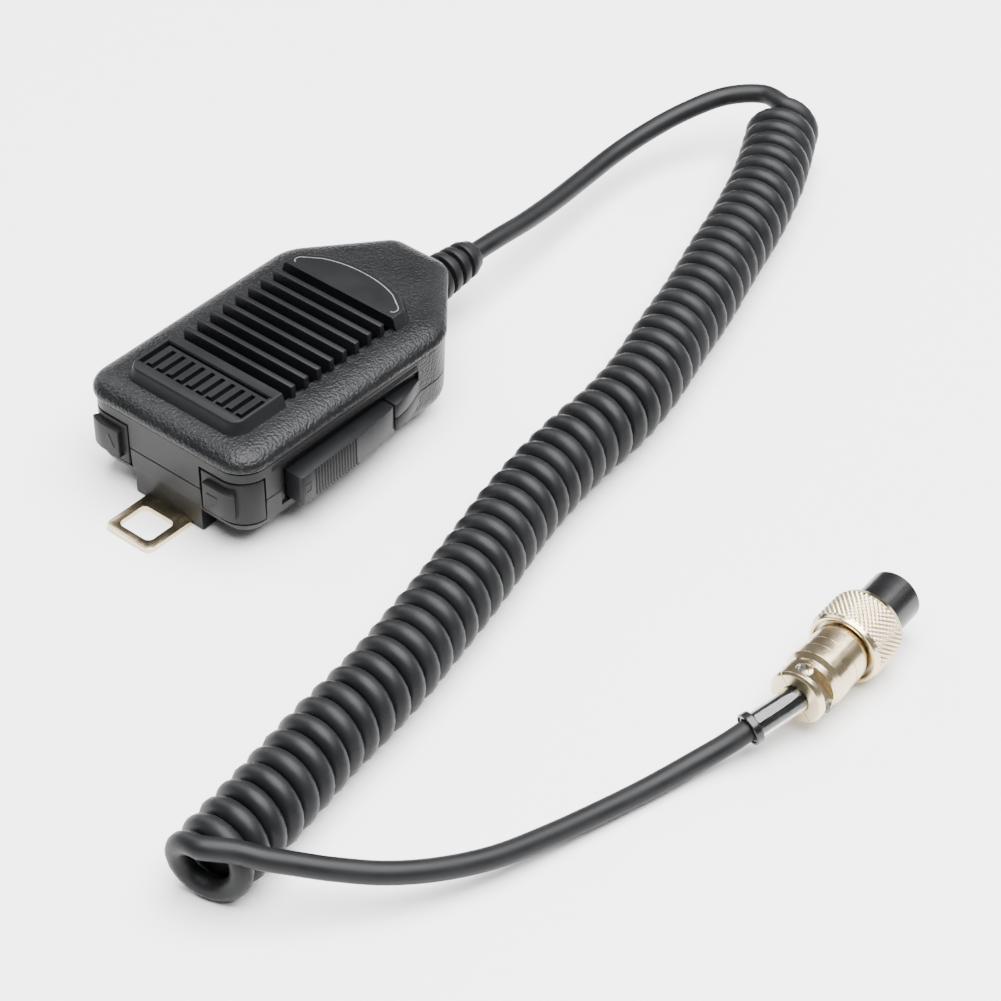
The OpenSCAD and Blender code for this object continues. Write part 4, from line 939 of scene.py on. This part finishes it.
def build_boot(rubber):
    """Ribbed strain relief."""
    pitch = (BOOT_L - 4.6) / BOOT_GROOVES
    core = BOOT_TIP_R - 1.15
    profile = [(2.67, -3.4), (5.9, -3.4), (5.9, -1.95), (5.0, -1.95), (5.0, 0.05)]
    for i in range(BOOT_GROOVES):
        r = BOOT_BASE_R - (BOOT_BASE_R - BOOT_TIP_R) * i / BOOT_GROOVES
        start = i * pitch + (0.05 if i == 0 else 0.0)
        end = (i + 0.6) * pitch
        profile += [
            (r - 0.35, start), (r - 0.1, start + 0.12), (r, start + 0.4), (r - 0.06, end - 0.4),
            (r - 0.16, end - 0.12), (r - 0.4, end), (core + 0.15, end + 0.05), (core, end + 0.25),
            (core, (i + 1) * pitch - 0.2), (core + 0.15, (i + 1) * pitch - 0.04),
        ]
    start = BOOT_GROOVES * pitch
    nose = [
        (0.35, 0.0), (0.08, 0.15), (0.0, 0.4), (0.05, 1.5), (0.5, 2.5), (0.8, 3.4), (1.1, 4.2),
        (1.5, 4.55),
    ]
    profile += [(BOOT_TIP_R - inset, start + along) for inset, along in nose]
    profile.append((2.67, start + 4.6))
    boot = lathe("boot", profile, 72, None, 40.0)
    place(boot, along_y(WALL_BACK_Y, CORD_Z))
    dress(boot, rubber, "case", ("strain_relief",))


def triangle_wave(x):
    """Rises from 0 to 1 and falls back to 0 over each unit."""
    return 1 - abs(2 * (x - math.floor(x)) - 1)


def build_nut(nickel):
    """Coupling nut with crossed knurling outside and turns of thread inside."""
    rim = 1.2
    low, high = NUT_START + rim, NUT_END - rim

    def knurl(a, z):
        if not low + 0.2 < z < high - 0.2:
            return 0.0
        turn = a * KNURL_AROUND / TAU
        slide = (z - low) / KNURL_PITCH
        point = triangle_wave(turn + slide) * triangle_wave(turn - slide)
        return KNURL_DEPTH * (min(1.0, 1.7 * point) - 1.0)

    profile = [
        (7.8, NUT_START + 0.15), (7.95, NUT_START), (8.7, NUT_START), (8.9, NUT_START + 0.2),
        (8.9, low - 0.15), (9.15, low),
    ]
    for i in range(KNURL_ROWS + 1):
        profile.append((NUT_R, low + (high - low) * (0.03 + 0.94 * i / KNURL_ROWS)))
    profile += [
        (9.15, high), (8.9, high + 0.15), (8.9, NUT_END - 0.2), (8.7, NUT_END), (7.95, NUT_END),
        (7.75, NUT_END - 0.25),
    ]
    z = NUT_END - 0.6
    while z > 28.0:
        profile += [(7.9, z), (7.6, z - 0.4)]
        z -= THREAD_PITCH
    profile += [(7.9, 26.9), (8.72, 26.7), (8.72, NUT_START + 1.45), (7.8, NUT_START + 1.4)]
    nut = lathe("knurled_nut", profile, KNURL_AROUND * 8, knurl, 70.0)
    place(nut, on_plug())
    dress(nut, nickel, "coupling_nut", ("coupling_nut",))


# ---------------------------------------------------------------- stage
def add_floor():
    bpy.ops.mesh.primitive_plane_add(size=6.0, location=(0, 0, 0))
    floor = bpy.context.object
    floor.name = "floor"
    floor.data.materials.append(floor_material())


def add_area(name, location, target, size, power):
    data = bpy.data.lights.new(name, "AREA")
    data.shape = "RECTANGLE"
    data.size, data.size_y = size
    data.energy = power
    light = bpy.data.objects.new(name, data)
    bpy.context.scene.collection.objects.link(light)
    light.location = location
    light.rotation_euler = (Vector(target) - Vector(location)).to_track_quat("-Z", "Y").to_euler()


def add_lights():
    world = bpy.data.worlds.new("studio")
    bpy.context.scene.world = world
    world.use_nodes = True
    background = world.node_tree.nodes["Background"]
    background.inputs["Color"].default_value = (1.0, 1.0, 1.0, 1.0)
    background.inputs["Strength"].default_value = 0.22
    centre = (0.06, 0.0, 0.0)
    add_area("top_box", (0.30, 0.10, 1.5), centre, (1.8, 1.6), 165.0)
    add_area("left_box", (-1.2, 0.15, 0.9), centre, (0.8, 1.0), 12.0)
    add_area("back_strip", (0.25, 1.35, 0.75), centre, (1.4, 0.35), 6.0)


# ---------------------------------------------------------------- carried-over CAD nodes
def paint_nodes(materials):
    """Materials for the CAD nodes that stay visible."""
    kinds = {
        "nickel": ("plug_shell", "plug_clamp_half", "nut_washer"),
        "steel": ("hanger_screws", "case_screws", "lever_pin", "lever_spring", "board_screws",
                  "cord_clamp", "cord_clamp_screws", "plug_clamp_screws", "nut_ring",
                  "mic_capsule"),
        "gloss": ("ptt_switch", "up_switch", "down_switch", "transistors", "plug_insert",
                  "capacitors"),
        "red": ("ptt_plunger", "capsule_wires", "core_wires", "plug_wires"),
        "white": ("up_plunger", "down_plunger"),
        "board": ("circuit_board",),
        "resistor": ("resistors",),
        "rubber": ("capsule_holder", "dust_felt"),
        "cord": ("cord_tail",),
        "brass": ("plug_contacts",),
    }
    for kind, names in kinds.items():
        for name in names:
            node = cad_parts[name]
            node.data.materials.clear()
            node.data.materials.append(materials[kind])


def main():
    add_camera()
    sheath = cord_plastic()
    cord, length = build_cord(sheath)
    gloss = plastic("gloss_plastic", (0.0045, 0.0045, 0.005), 0.24, 0.000008)
    sleeve = build_sleeve(clear_plastic())
    band = build_sleeve_ring(gloss)
    nickel = metal("warm_nickel", (0.75, 0.62, 0.41), 0.19)
    satin = plastic("satin_plastic", (0.0058, 0.0060, 0.0068), 0.44, 0.00002, 0.16)
    key_satin = plastic("key_plastic", (0.0060, 0.0062, 0.0070), 0.46, 0.00002, 0.17)
    grain = grained_plastic()
    rubber = plastic("boot_rubber", (0.0062, 0.0064, 0.0072), 0.50, 0.00003, 0.18)
    materials = {
        "nickel": nickel, "gloss": gloss, "cord": sheath, "rubber": rubber,
        "steel": metal("zinc_steel", (0.62, 0.61, 0.60), 0.28),
        "red": plastic("red_plastic", (0.50, 0.05, 0.03), 0.35),
        "white": plastic("white_plastic", (0.70, 0.69, 0.65), 0.35),
        "board": plastic("board_lacquer", (0.04, 0.17, 0.08), 0.30),
        "resistor": plastic("resistor_body", (0.55, 0.42, 0.26), 0.40),
        "brass": metal("brass", (0.80, 0.60, 0.27), 0.22),
    }
    paint_nodes(materials)
    build_front_case(grain, satin)
    build_back_case(grain, satin)
    build_beads(satin)
    build_comb(satin)
    build_name_plate(satin, printed_line())
    build_slats(satin)
    build_key(-1, "up_key", key_satin)
    build_key(1, "down_key", key_satin)
    build_lever(key_satin)
    build_hanger(nickel)
    build_boot(rubber)
    build_nut(nickel)
    add_floor()
    add_lights()


main()
